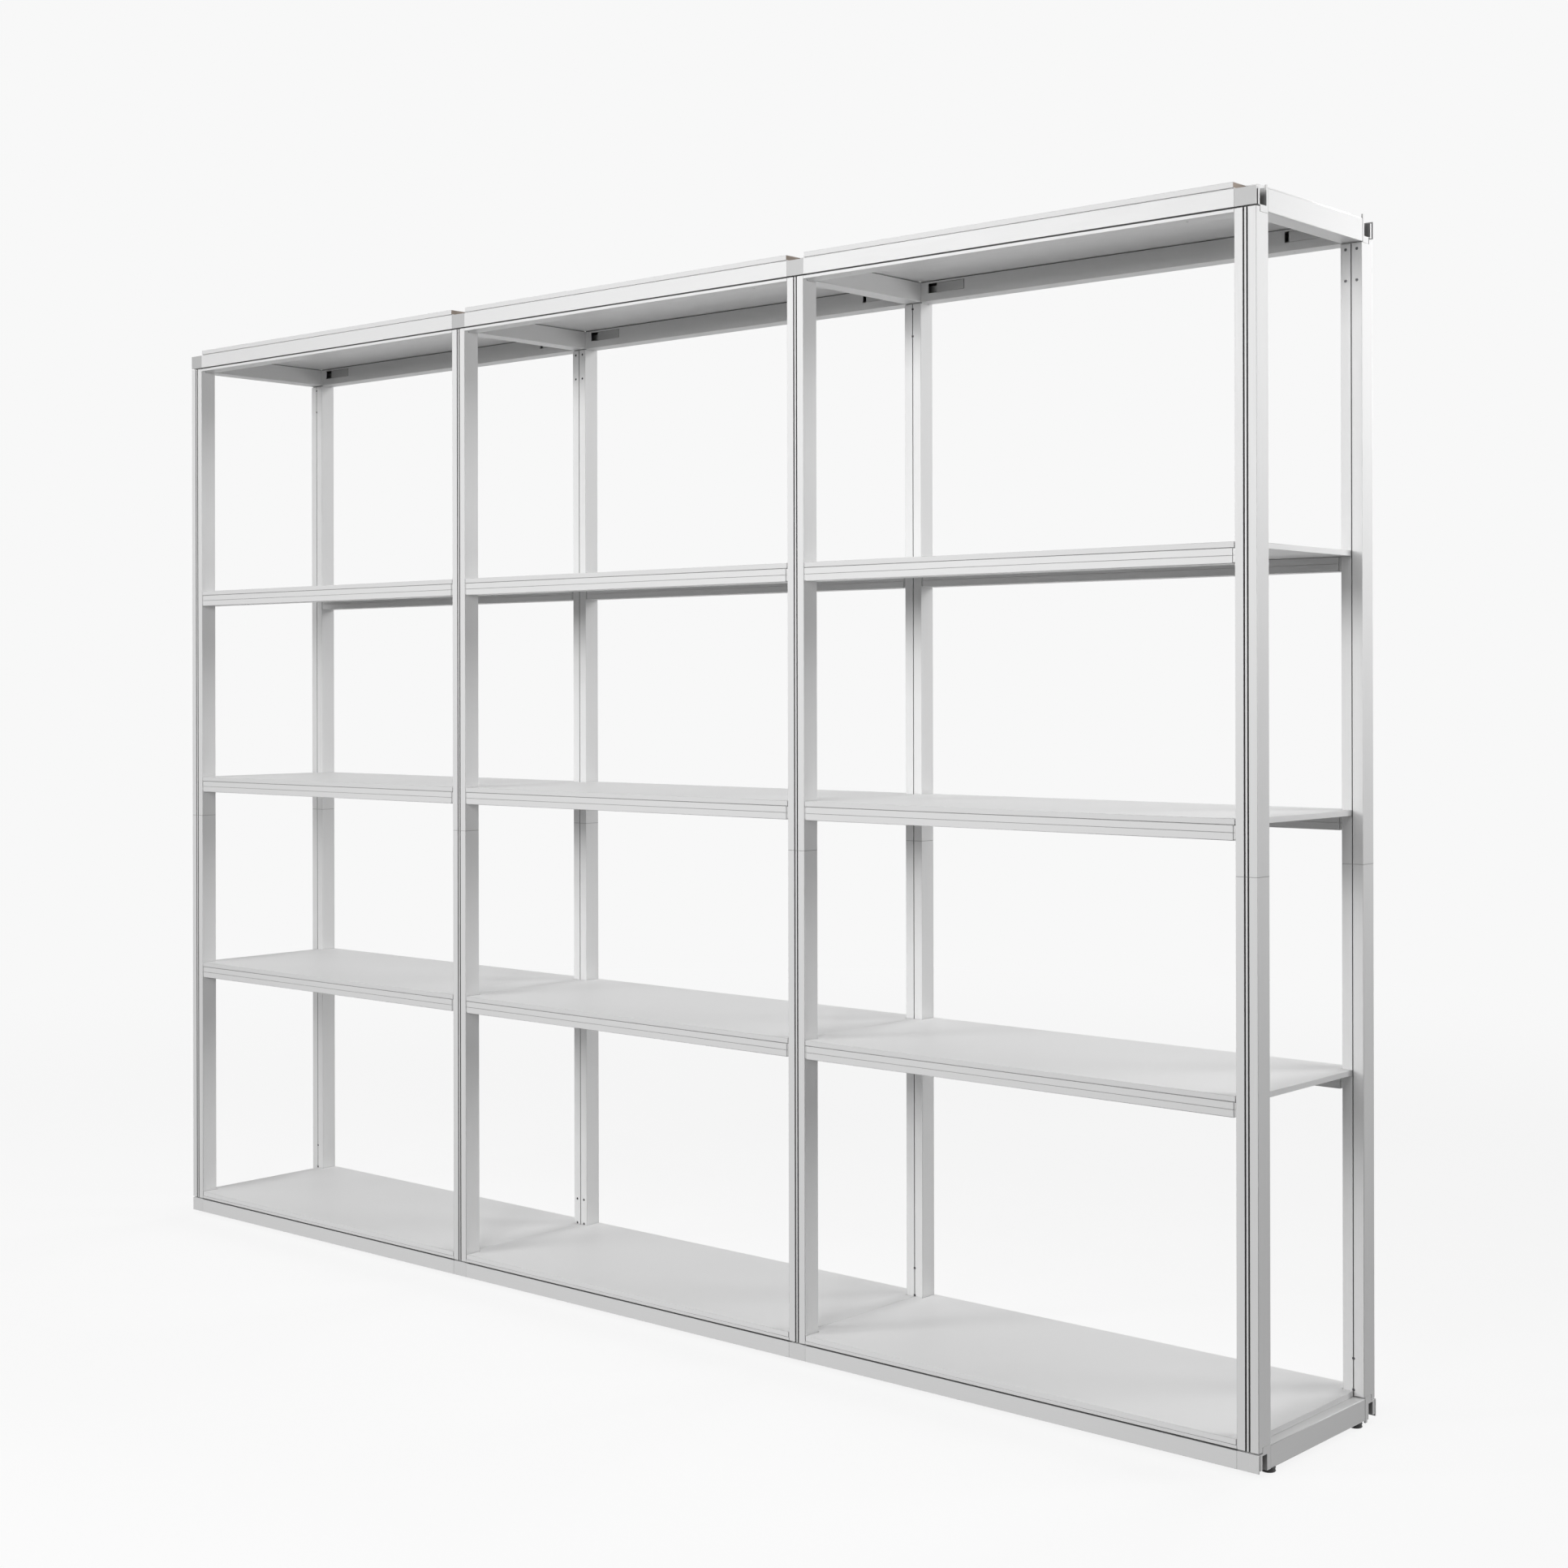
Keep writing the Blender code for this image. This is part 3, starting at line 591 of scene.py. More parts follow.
@dataclass(frozen=True)
class Finish:
    """A finish: its colours, how it shines, and its texture at real scale."""

    name: str
    slot: str
    colour: Colour
    roughness: float
    metallic: float = 0.0
    rough_swing: float = 0.06
    tone_scale: float = 2.5
    tone_swing: float = 0.03
    grain_scale: float = 900.0
    grain_stretch: tuple[float, float, float] = (1.0, 1.0, 1.0)
    grain_height: float = 0.00003
    grain_tone: float = 0.02
    grain_range: tuple[float, float] = (0.2, 0.8)
    wear_colour: Colour = (0.86, 0.86, 0.86)
    wear_scale: float = 45.0
    wear: float = 0.35
    dust_colour: Colour = (0.60, 0.59, 0.57)
    dust_scale: float = 7.0
    dust: float = 0.04

    @property
    def material(self) -> bpy.types.Material:
        """The material, built when it is first asked for."""
        return bpy.data.materials.get(self.name) or self.build()

    def build(self) -> bpy.types.Material:
        """Build the material of this finish.

        Returns:
            A material with the finish's patterns on a Principled shader.
        """
        made = bpy.data.materials.new(self.name)
        made.use_nodes = True
        graph = Graph(made.node_tree)
        height = Effect.GRAIN.use(graph, scale=self.grain_scale, stretch=self.grain_stretch)
        tone = Effect.TONE.use(graph, scale=self.tone_scale, amount=self.tone_swing)
        fine = graph.math("MULTIPLY_ADD", graph.math("SUBTRACT", height, 0.5), self.grain_tone, 1.0)
        toned = graph.wired("ShaderNodeVectorMath", self.colour, operation="SCALE")
        graph.feed(toned.node.inputs["Scale"], graph.math("MULTIPLY", tone, fine))
        wear = Effect.WEAR.use(graph, scale=self.wear_scale, amount=self.wear)
        dust = Effect.DUST.use(graph, scale=self.dust_scale, amount=self.dust)
        worn = graph.mix(wear, toned, (*self.wear_colour, 1.0))
        low, high = self.roughness - self.rough_swing, self.roughness + self.rough_swing
        bump = graph.add("ShaderNodeBump")
        graph.feed_named(bump, {"Strength": 1.0, "Distance": self.grain_height, "Height": height})
        graph.feed_named(made.node_tree.nodes["Principled BSDF"], {
            "Base Color": graph.mix(dust, worn, (*self.dust_colour, 1.0)),
            "Roughness": graph.spread(height, *self.grain_range, low, high),
            "Metallic": self.metallic,
            "Normal": bump.outputs["Normal"],
        })
        return made


def grey(value: float) -> Colour:
    """Return a neutral colour."""
    return (value, value, value)


# Powder-coated aluminium. Its grain runs in streaks along an extrusion: DRAWN is its rate of change that way.
DRAWN = 0.012
WHITE_COAT = Finish("white_coat", "white_frame", grey(0.80), 0.42)
UPRIGHT_COAT = replace(WHITE_COAT, name="upright_coat", grain_stretch=(1.0, 1.0, DRAWN), grain_tone=0.06)
RAIL_COAT = replace(WHITE_COAT, grain_tone=0.045)
LENGTHWISE_COAT = replace(RAIL_COAT, name="lengthwise_coat", grain_stretch=(DRAWN, 1.0, 1.0))
CROSSWISE_COAT = replace(RAIL_COAT, name="crosswise_coat", grain_stretch=(1.0, DRAWN, 1.0))

# The same coat painted darker in grooves, hollows, rebates, score lines and joint lines: painted shade, where
# little light comes in.
GROOVE_SHADE = Finish("groove_shade", "white_frame", grey(0.27), 0.60, tone_swing=0.1, wear=0.0, dust=0.0)
RAIL_GROOVE_SHADE = replace(GROOVE_SHADE, name="rail_groove_shade", colour=grey(0.50))
SEAT_SHADE = replace(GROOVE_SHADE, name="seat_shade", colour=grey(0.52))
LINE_SHADE = replace(GROOVE_SHADE, name="line_shade", colour=grey(0.20))

# Cast blocks, rougher than the extrusions. The top blocks are painted darker than the bottom ones on all but
# their end faces: painted shade.
TOP_BLOCK_SHADED = Finish(
    "top_block_shaded", "white_frame", grey(0.50), 0.42, tone_scale=9.0, tone_swing=0.08, grain_scale=420.0,
    grain_stretch=(3.0, 3.0, 0.25), grain_tone=0.10, wear_colour=grey(0.80), wear=0.5,
)
BOTTOM_BLOCK = replace(TOP_BLOCK_SHADED, name="bottom_block", colour=grey(0.77))
BLOCK_END = replace(TOP_BLOCK_SHADED, name="block_end", colour=grey(0.79), grain_tone=0.04)
# Painted shade on the inside of the blocks' pockets and in the top blocks' slits.
POCKET_SHADE = replace(
    TOP_BLOCK_SHADED, name="pocket_shade", colour=grey(0.36), grain_scale=260.0, grain_stretch=(3.0, 3.0, 0.1),
    grain_tone=0.5, wear=0.2,
)

# Boards: laminate above and below, a band round the edge, and the bare core in the notches of the top ones.
# Above the bottom deck, the band on the front and rear edges is painted darker than the laminate: painted
# shade.
WHITE_LAMINATE = Finish(
    "white_laminate", "white_board", grey(0.86), 0.50, tone_scale=1.6, tone_swing=0.02, grain_scale=1400.0,
    grain_tone=0.01, grain_height=0.000015, wear=0.2, dust=0.03,
)
BOARD_BAND_SHADED = replace(WHITE_LAMINATE, name="board_band_shaded", colour=grey(0.77))
BOARD_CORE = Finish(
    "board_core", "white_board", (0.46, 0.385, 0.33), 0.85, tone_scale=60.0, tone_swing=0.25,
    grain_scale=700.0, grain_stretch=(1.0, 1.0, 5.0), grain_tone=0.35, grain_height=0.00012,
    wear=0.0, dust=0.0,
)

# Fittings.
BRACKET_GREY = Finish("bracket_grey", "white_frame", grey(0.55), 0.45, metallic=0.2, wear=0.4)
LOCK_GREY = Finish(
    "lock_grey", "lock_grey", grey(0.56), 0.40, grain_scale=600.0, grain_stretch=(0.05, 1.0, 1.0),
    grain_tone=0.12, wear_colour=grey(0.72), dust=0.0,
)
# Painted shade in the recess round a lock's plate.
LOCK_SHADE = replace(LOCK_GREY, name="lock_shade", colour=grey(0.10), wear_colour=grey(0.2))
DARK_STEEL = Finish(
    "dark_steel", "lock_grey", (0.10, 0.10, 0.105), 0.42, metallic=0.85, tone_scale=90.0, tone_swing=0.2,
    wear_colour=grey(0.35), wear=0.5, dust=0.0,
)
BRIGHT_STEEL = Finish(
    "bright_steel", "lock_grey", (0.58, 0.58, 0.57), 0.3, metallic=1.0, tone_scale=90.0, tone_swing=0.15,
    wear_colour=grey(0.7), dust=0.0,
)
BLACK_PAD = Finish(
    "black_pad", "foot_black", (0.012, 0.012, 0.013), 0.55, tone_scale=80.0, tone_swing=0.3,
    grain_scale=1600.0, grain_tone=0.2, grain_height=0.00006, wear_colour=grey(0.08),
    dust_colour=(0.2, 0.19, 0.18), dust=0.08,
)


# Sizes and places


@dataclass(frozen=True)
class Stock:
    """Sizes that several pieces share, the same as in the solids."""

    post_width: float = 0.042
    post_depth: float = 0.040
    wall: float = 0.002
    gap: float = 0.0003
    plate_height: float = 0.031
    groove_height: float = 0.003
    groove_depth: float = 0.013
    lip_height: float = 0.006
    block_height: float = 0.042
    rear_proud: float = 0.0045
    seat_rise: float = 0.0014
    board_thickness: float = 0.010
    window_start: float = 0.020
    window_length: float = 0.093
    window_height: float = 0.0203
    window_drop: float = 0.004
    grub_start: float = 0.104

    @property
    def half(self) -> float:
        """Half the width of a post."""
        return self.post_width / 2

    @property
    def groove_end(self) -> float:
        """Where the panel groove ends, from the end of the frame."""
        return self.plate_height + self.groove_height

    @property
    def rail_height(self) -> float:
        """The height of a rail along the row."""
        return self.groove_end + self.lip_height


STOCK = Stock()


@dataclass(frozen=True)
class Layout:
    """Where the posts, bays and ends of the frame lie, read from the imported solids."""

    post_x: tuple[float, ...]
    front: float
    rear: float
    base: float
    top: float
    splice: float

    @classmethod
    def read(cls) -> "Layout":
        """Read the places from the nodes' boxes.

        Returns:
            The layout.
        """
        nodes = [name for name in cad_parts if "front_lower" in name]
        posts = sorted(sum(corner.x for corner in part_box(name)) / 2 for name in nodes)
        low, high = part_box("front_lower_post_1")[0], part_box("rear_top_rail_1")[1]
        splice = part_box("front_upper_post_1")[0].z
        return cls(tuple(posts), low.y, high.y, low.z, high.z - STOCK.seat_rise, splice)

    @property
    def posts(self) -> list[tuple[int, float]]:
        """The posts of a row, each with its number and its X."""
        return list(enumerate(self.post_x, 1))

    @property
    def bays(self) -> list[tuple[int, float]]:
        """The bays, each with its number and the X of its middle."""
        return [(number, (left + right) / 2) for (number, left), right in zip(self.posts, self.post_x[1:])]

    @property
    def pitch(self) -> float:
        """The distance between two posts."""
        return self.post_x[1] - self.post_x[0]

    @property
    def span(self) -> float:
        """The clear length between two posts."""
        return self.pitch - STOCK.post_width

    def inward(self, row: Row, distance: float) -> float:
        """Return the Y of a place that lies a distance inward from the outer face of a row."""
        return (self.front if row is Row.FRONT else self.rear) + row.sign * distance

    def end(self, level: Level) -> float:
        """Return the height of an end of the frame."""
        return self.base if level is Level.BOTTOM else self.top

    def upright(self, x: float, row: Row, height: float) -> Matrix:
        """Return the matrix from a row's own frame, upright, to a place in the rack."""
        place = Matrix.Translation((x, self.inward(row, 0.0), height))
        return place @ Matrix.Diagonal((1.0, row.sign, 1.0, 1.0))

    def corner(self, x: float, row: Row, level: Level) -> Matrix:
        """Return the matrix from a corner's own frame to the rack."""
        return self.upright(x, row, self.end(level)) @ Matrix.Diagonal((1.0, 1.0, level.sign, 1.0))


@dataclass
class Workshop:
    """Turns shapes into the rack's pieces and keeps count of them."""

    layout: Layout
    count: int = 0

    def add(
        self, name: str, shape: Shape, matrix: Matrix, *finishes: Finish, body: str = ROOT_BODY,
        replaces: str = "", smooth: bool = False,
    ) -> None:
        """Add a piece with its place in its mesh.

        Args:
            name: The piece's name.
            shape: Its shape in its own frame.
            matrix: The matrix from that frame to the rack.
            finishes: Its finishes, in the order of the faces' material numbers.
            body: The body that it rides on.
            replaces: The node that it stands for, if any.
            smooth: Whether it is a round piece, with sharp edges found by their angle.
        """
        mesh = bpy.data.meshes.new(name)
        placed(shape, matrix).to_mesh(mesh)
        for finish in finishes:
            mesh.materials.append(finish.material)
        if smooth:
            mesh.shade_smooth()
            mesh.set_sharp_from_angle(angle=ROUND_PIECE_ANGLE)
        piece = bpy.data.objects.new(name, mesh)
        bpy.context.scene.collection.objects.link(piece)
        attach(piece, body)
        if replaces:
            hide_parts(replaces)
        self.count += 1
        log.info("%s: %d faces on %s", name, len(mesh.polygons), body)


@dataclass
class SubAssembly:
    """A kind of piece, with the workshop that makes it."""

    shop: Workshop

    @property
    def layout(self) -> Layout:
        """Where the posts and bays lie."""
        return self.shop.layout


# Posts and corner blocks


@dataclass
class Fasteners(SubAssembly):
    """Socket screws, sunk just below the face that they stand in."""

    radius: float = 0.00275
    length: float = 0.0015
    sunk: float = 0.0004
    socket_radius: float = 0.0014
    socket_depth: float = 0.0009
    rim_round: float = 0.0003
    sides: int = 12

    @cached_property
    def shape(self) -> Shape:
        """One screw head about its own axis, its face up, with a hexagon socket pressed into it."""
        head = rod(self.radius, self.length, (0.0, 0.0, -self.sunk - self.length / 2), sides=self.sides)
        round_edges(head, list(farthest(head, 2).edges), self.rim_round)
        face = farthest(head, 2)
        rim = self.radius - self.rim_round - self.socket_radius
        bmesh.ops.inset_region(head, faces=[face], thickness=rim)
        self.press_hexagon(face)
        draw_out(head, face, (0.0, 0.0, -self.socket_depth))
        return outwards(head)

    def press_hexagon(self, face: BMFace) -> None:
        """Move the corners of a round face onto a hexagon.

        Args:
            face: The face.
        """
        sector = math.pi / 3
        for vert in face.verts:
            angle = math.atan2(vert.co.y, vert.co.x)
            reach = self.socket_radius * math.cos(sector / 2) / math.cos(angle % sector - sector / 2)
            vert.co.x, vert.co.y = reach * math.cos(angle), reach * math.sin(angle)

    def add(self, name: str, places: list[Corner], matrix: Matrix, turn: Matrix) -> None:
        """Add a group of screws as one piece.

        Args:
            name: The piece's name.
            places: Where the screws stand, in the frame that matrix starts from.
            matrix: The matrix from that frame to the rack.
            turn: The turn from Z to the way that the screws face.
        """
        heads = [placed(self.shape, matrix @ Matrix.Translation(place) @ turn) for place in places]
        self.shop.add(name, gathered(heads), UPRIGHT, DARK_STEEL)


@dataclass
class Posts(SubAssembly):
    """The sixteen post lengths: an extrusion with two panel grooves outside and a narrow seam inside."""

    groove_width: float = 0.0032
    groove_depth: float = 0.008
    groove_wall: float = 0.0016
    rib_width: float = 0.0036
    seam_width: float = 0.0018
    seam_depth: float = 0.005
    corner_round: float = 0.0008
    lip_round: float = 0.0003
    block_step: float = 0.014
    block_joint: float = 0.0004
    hook_joint: float = 0.0018
    screw_radius: float = 0.003
    screw_first: float = 0.0525
    screw_pitch: float = 0.0565
    screw_spread: float = 0.022
    screw_depth: float = 0.0018
    spigot_reach: float = 0.003
    splice_line: float = 0.0005
    lengths: dict[Level, str] = field(default_factory=lambda: {Level.BOTTOM: "lower", Level.TOP: "upper"})
    patterns: dict[Level, tuple[Screws, ...]] = field(
        default_factory=lambda: {
            Level.BOTTOM: (Screws.SINGLE, Screws.DOUBLE, Screws.SINGLE, Screws.SINGLE),
            Level.TOP: (Screws.SINGLE, Screws.DOUBLE, Screws.SINGLE, Screws.DOUBLE),
        }
    )

    @property
    def skin(self) -> list[Corner]:
        """The outer corners of the extrusion, its outer face on y = 0."""
        rib, seam = self.rib_width / 2, self.seam_width / 2
        groove, depth, lip = rib + self.groove_width, STOCK.post_depth, self.lip_round
        return mirrored([
            (rib, 0.0, lip), (rib, self.groove_depth, 0.0),
            (groove, self.groove_depth, 0.0), (groove, 0.0, lip),
            (STOCK.half, 0.0, self.corner_round), (STOCK.half, depth, self.corner_round),
            (seam, depth, lip), (seam, depth - self.seam_depth, 0.0),
        ])

    @property
    def core(self) -> list[Corner]:
        """The corners of the hollow, which steps round the grooves and the seam."""
        inside, back = STOCK.half - STOCK.wall, STOCK.post_depth - STOCK.wall
        groove = self.rib_width / 2 + self.groove_width + self.groove_wall
        seam = self.seam_width / 2 + self.groove_wall
        return mirrored([
            (groove, self.groove_depth + self.groove_wall, 0.0), (groove, STOCK.wall, 0.0),
            (inside, STOCK.wall, 0.0), (inside, back, 0.0),
            (seam, back, 0.0), (seam, STOCK.post_depth - self.seam_depth - self.groove_wall, 0.0),
        ])

    def screw_places(self, screws: Screws) -> list[Corner]:
        """Return where the screws of a post stand, in its corner's own frame.

        Args:
            screws: How its screws stand.

        Returns:
            The places.
        """
        columns = (0.0,) if screws is Screws.SINGLE else (-self.screw_spread / 2, self.screw_spread / 2)
        heights = (self.screw_first, self.screw_first + self.screw_pitch)
        return [(x, STOCK.post_depth, z) for x, z in product(columns, heights)]

    def bar(self, splice: float, screws: Screws) -> Shape:
        """Return a post length in its corner's own frame.

        Args:
            splice: How far its inner end lies from the end of the frame.
            screws: How its screws stand.

        Returns:
            The extrusion, stepped over its corner block and drilled.
        """
        start, width, depth = STOCK.groove_end, STOCK.post_width, STOCK.post_depth
        middle = Matrix.Translation((0, 0, (start + splice) / 2))
        bar = hollow_bar(self.skin, self.core, splice - start, middle)
        low = (-width, self.block_step - self.hook_joint, start - OVERRUN)
        step = block(low, (width, depth + OVERRUN, STOCK.block_height + self.block_joint))
        places = self.screw_places(screws)
        holes = [rod(self.screw_radius, 2 * self.screw_depth, place, FACING_OUT) for place in places]
        bar = cut(bar, step, gathered(holes))
        # Painted shade: the grooves and the seam get the dark groove finish, and a thin band at the splice end
        # a darker one as the joint's shadow line.
        groove, seam, lip = self.rib_width / 2 + self.groove_width, self.seam_width / 2, self.lip_round
        shade(bar, (-groove, lip, start), (groove, self.groove_depth, splice))
        shade(bar, (-seam, depth - self.seam_depth, start), (seam, depth - lip, splice))
        line = splice - self.splice_line
        slice_at(bar, line)
        shade(bar, (-width, 0.0, line), (width, depth, splice), 2)
        return bar

    def spigot(self, splice: float) -> Shape:
        """Return the end of the splice spigot that stands between the two lengths of a post.

        Args:
            splice: How far the splice lies from the end of the frame.

        Returns:
            The closed shape.
        """
        half = STOCK.half - STOCK.wall - STOCK.gap
        front = self.groove_depth + self.groove_wall + STOCK.gap
        back = STOCK.post_depth - self.seam_depth - self.groove_wall - STOCK.gap
        return block(
            (-half, front, splice - self.spigot_reach), (half, back, splice + self.spigot_reach), FINE_ROUND
        )

    def build(self) -> None:
        """Add the posts, their splice spigots and their screws."""
        heads = Fasteners(self.shop)
        for level in Level:
            lower = level is Level.BOTTOM
            splice = abs(self.layout.splice - self.layout.end(level)) - (STOCK.gap if lower else 0.0)
            bars = {screws: self.bar(splice, screws) for screws in Screws}
            for row, ((number, x), screws) in product(Row, zip(self.layout.posts, self.patterns[level])):
                matrix = self.layout.corner(x, row, level)
                node = f"{row.word}_{self.lengths[level]}_post_{number}"
                finishes = (UPRIGHT_COAT, GROOVE_SHADE, SEAT_SHADE)
                self.shop.add(f"{node}_extrusion", bars[screws], matrix, *finishes, replaces=node)
                heads.add(f"{node}_screws", self.screw_places(screws), matrix, FACING_IN)
                if lower:
                    self.shop.add(f"{row.word}_splice_{number}", self.spigot(splice), matrix, BRACKET_GREY)


@dataclass(frozen=True)
class BlockForm:
    """The sizes and finishes of a corner block that differ between the two ends of the frame."""

    cover: float
    slit_width: float
    pocket: float
    inner_wall: float
    rise: float
    horns: dict[Row, float]
    finish: Finish
    slit_shade: int


@dataclass
class CornerBlocks(SubAssembly):
    """The sixteen corner blocks: a cover plate, and a hook behind it whose pocket runs along the row."""

    step: float = 0.014
    hook_drop: float = 0.004
    round: float = 0.0003
    pocket_round: float = 0.0012
    pocket_start: float = 0.012
    side_spigot: float = 0.026
    horn_length: float = 0.0032
    horn_depth: float = 0.0065
    slit_length: float = 0.006
    endward: float = 0.5
    forms: dict[Level, BlockForm] = field(
        default_factory=lambda: {
            Level.BOTTOM: BlockForm(
                cover=0.0028, slit_width=0.0016, pocket=0.028, inner_wall=0.0120, rise=0.0,
                horns={Row.FRONT: 0.0, Row.REAR: 0.0044}, finish=BOTTOM_BLOCK, slit_shade=1,
            ),
            Level.TOP: BlockForm(
                cover=0.0020, slit_width=0.0048, pocket=0.030, inner_wall=0.0055, rise=STOCK.seat_rise,
                horns={Row.FRONT: 0.006, Row.REAR: 0.009}, finish=TOP_BLOCK_SHADED, slit_shade=2,
            ),
        }
    )

    @staticmethod
    def proud(row: Row) -> float:
        """Return how far a block stands out of the outer face of its row."""
        return STOCK.rear_proud if row is Row.REAR else 0.0

    def section(self, row: Row, form: BlockForm) -> list[Corner]:
        """Draw the section of a block, in (inward, from the end of the frame), seen along the row.

        Args:
            row: The block's row.
            form: Its sizes at its end of the frame.

        Returns:
            The corners.
        """
        proud = self.proud(row)
        back = STOCK.post_depth - proud
        cover, front, wall = form.cover - proud, self.pocket_start - proud, back - form.inner_wall
        return [
            (-proud, 0.0, 0.0), (-proud, STOCK.plate_height, 0.0),
            (self.step, STOCK.plate_height, 0.0), (self.step, STOCK.block_height, 0.0),
            (back, STOCK.block_height, 0.0), (back, -form.rise, 0.0),
            (wall, -form.rise, 0.0), (wall, form.pocket, self.pocket_round),
            (front, form.pocket, self.pocket_round), (front, self.hook_drop, 0.0),
            (cover, self.hook_drop, 0.0), (cover, 0.0, 0.0),
        ]

    def slit(self, row: Row, form: BlockForm, side: Side) -> Shape:
        """Return the cutter of the slit between the cover plate and the hook at one end of a block.

        Args:
            row: The block's row.
            form: Its sizes at its end of the frame.
            side: The end.

        Returns:
            The cutter.
        """
        cover = form.cover - self.proud(row)
        left, right = side.pair(STOCK.half - self.slit_length, STOCK.half + OVERRUN)
        return block((left, cover, -OVERRUN), (right, cover + form.slit_width, STOCK.plate_height + OVERRUN))

    def horn(self, row: Row, form: BlockForm, side: Side) -> Shape:
        """Return the horn that stands up from the hook at one end of a block.

        Args:
            row: The block's row.
            form: Its sizes at its end of the frame.
            side: The end.

        Returns:
            The closed shape.
        """
        back = STOCK.post_depth - self.proud(row)
        left, right = side.pair(STOCK.half - self.horn_length, STOCK.half)
        low = (left, back - self.horn_depth, -form.horns[row])
        return block(low, (right, back, self.hook_drop), self.round)

    def arm(self, row: Row, form: BlockForm) -> Shape:
        """Return the arm that fits inside the side rail.

        Args:
            row: The block's row.
            form: Its sizes at its end of the frame.

        Returns:
            The closed shape.
        """
        half, play = STOCK.half - STOCK.wall - STOCK.gap, STOCK.wall + STOCK.gap
        root = STOCK.post_depth - self.proud(row) - form.inner_wall / 2
        tip = STOCK.post_depth + self.side_spigot
        return block((-half, root, play), (half, tip, STOCK.rail_height - play))

    def shape(self, row: Row, form: BlockForm) -> Shape:
        """Return a corner block in its corner's own frame, its ends in their own finish, and its slits and
        pocket painted dark as shade.

        Args:
            row: The block's row.
            form: Its sizes at its end of the frame.

        Returns:
            The shape.
        """
        body = placed(extrusion(self.section(row, form), STOCK.post_width), LENGTHWISE)
        body = cut(body, *[self.slit(row, form, side) for side in Side])
        round_edges(body, sharp_edges(body), self.round)
        horns = [self.horn(row, form, side) for side in Side if form.horns[row]]
        body = joined(body, self.arm(row, form), *horns)
        shade_facing(body, 0, self.endward, 3)
        proud, half = self.proud(row), STOCK.half - 2 * self.round
        cover, wall = form.cover - proud, STOCK.post_depth - proud - form.inner_wall
        hook = cover + form.slit_width
        # Painted shade: the slit gets a dark finish, and the inside of the pocket the pocket shade.
        shade(body, (-half, cover, 0.0), (half, hook, STOCK.plate_height), form.slit_shade)
        shade(body, (-half, self.pocket_start - proud, 0.0), (half, wall, form.pocket), 2)
        return body

    def build(self) -> None:
        """Add the blocks."""
        for row, level in product(Row, Level):
            form = self.forms[level]
            shape = self.shape(row, form)
            for number, x in self.layout.posts:
                name = f"{row.word}_{level.word}_block_{number}"
                matrix = self.layout.corner(x, row, level)
                self.shop.add(name, shape, matrix, form.finish, LINE_SHADE, POCKET_SHADE, BLOCK_END)


# Rails


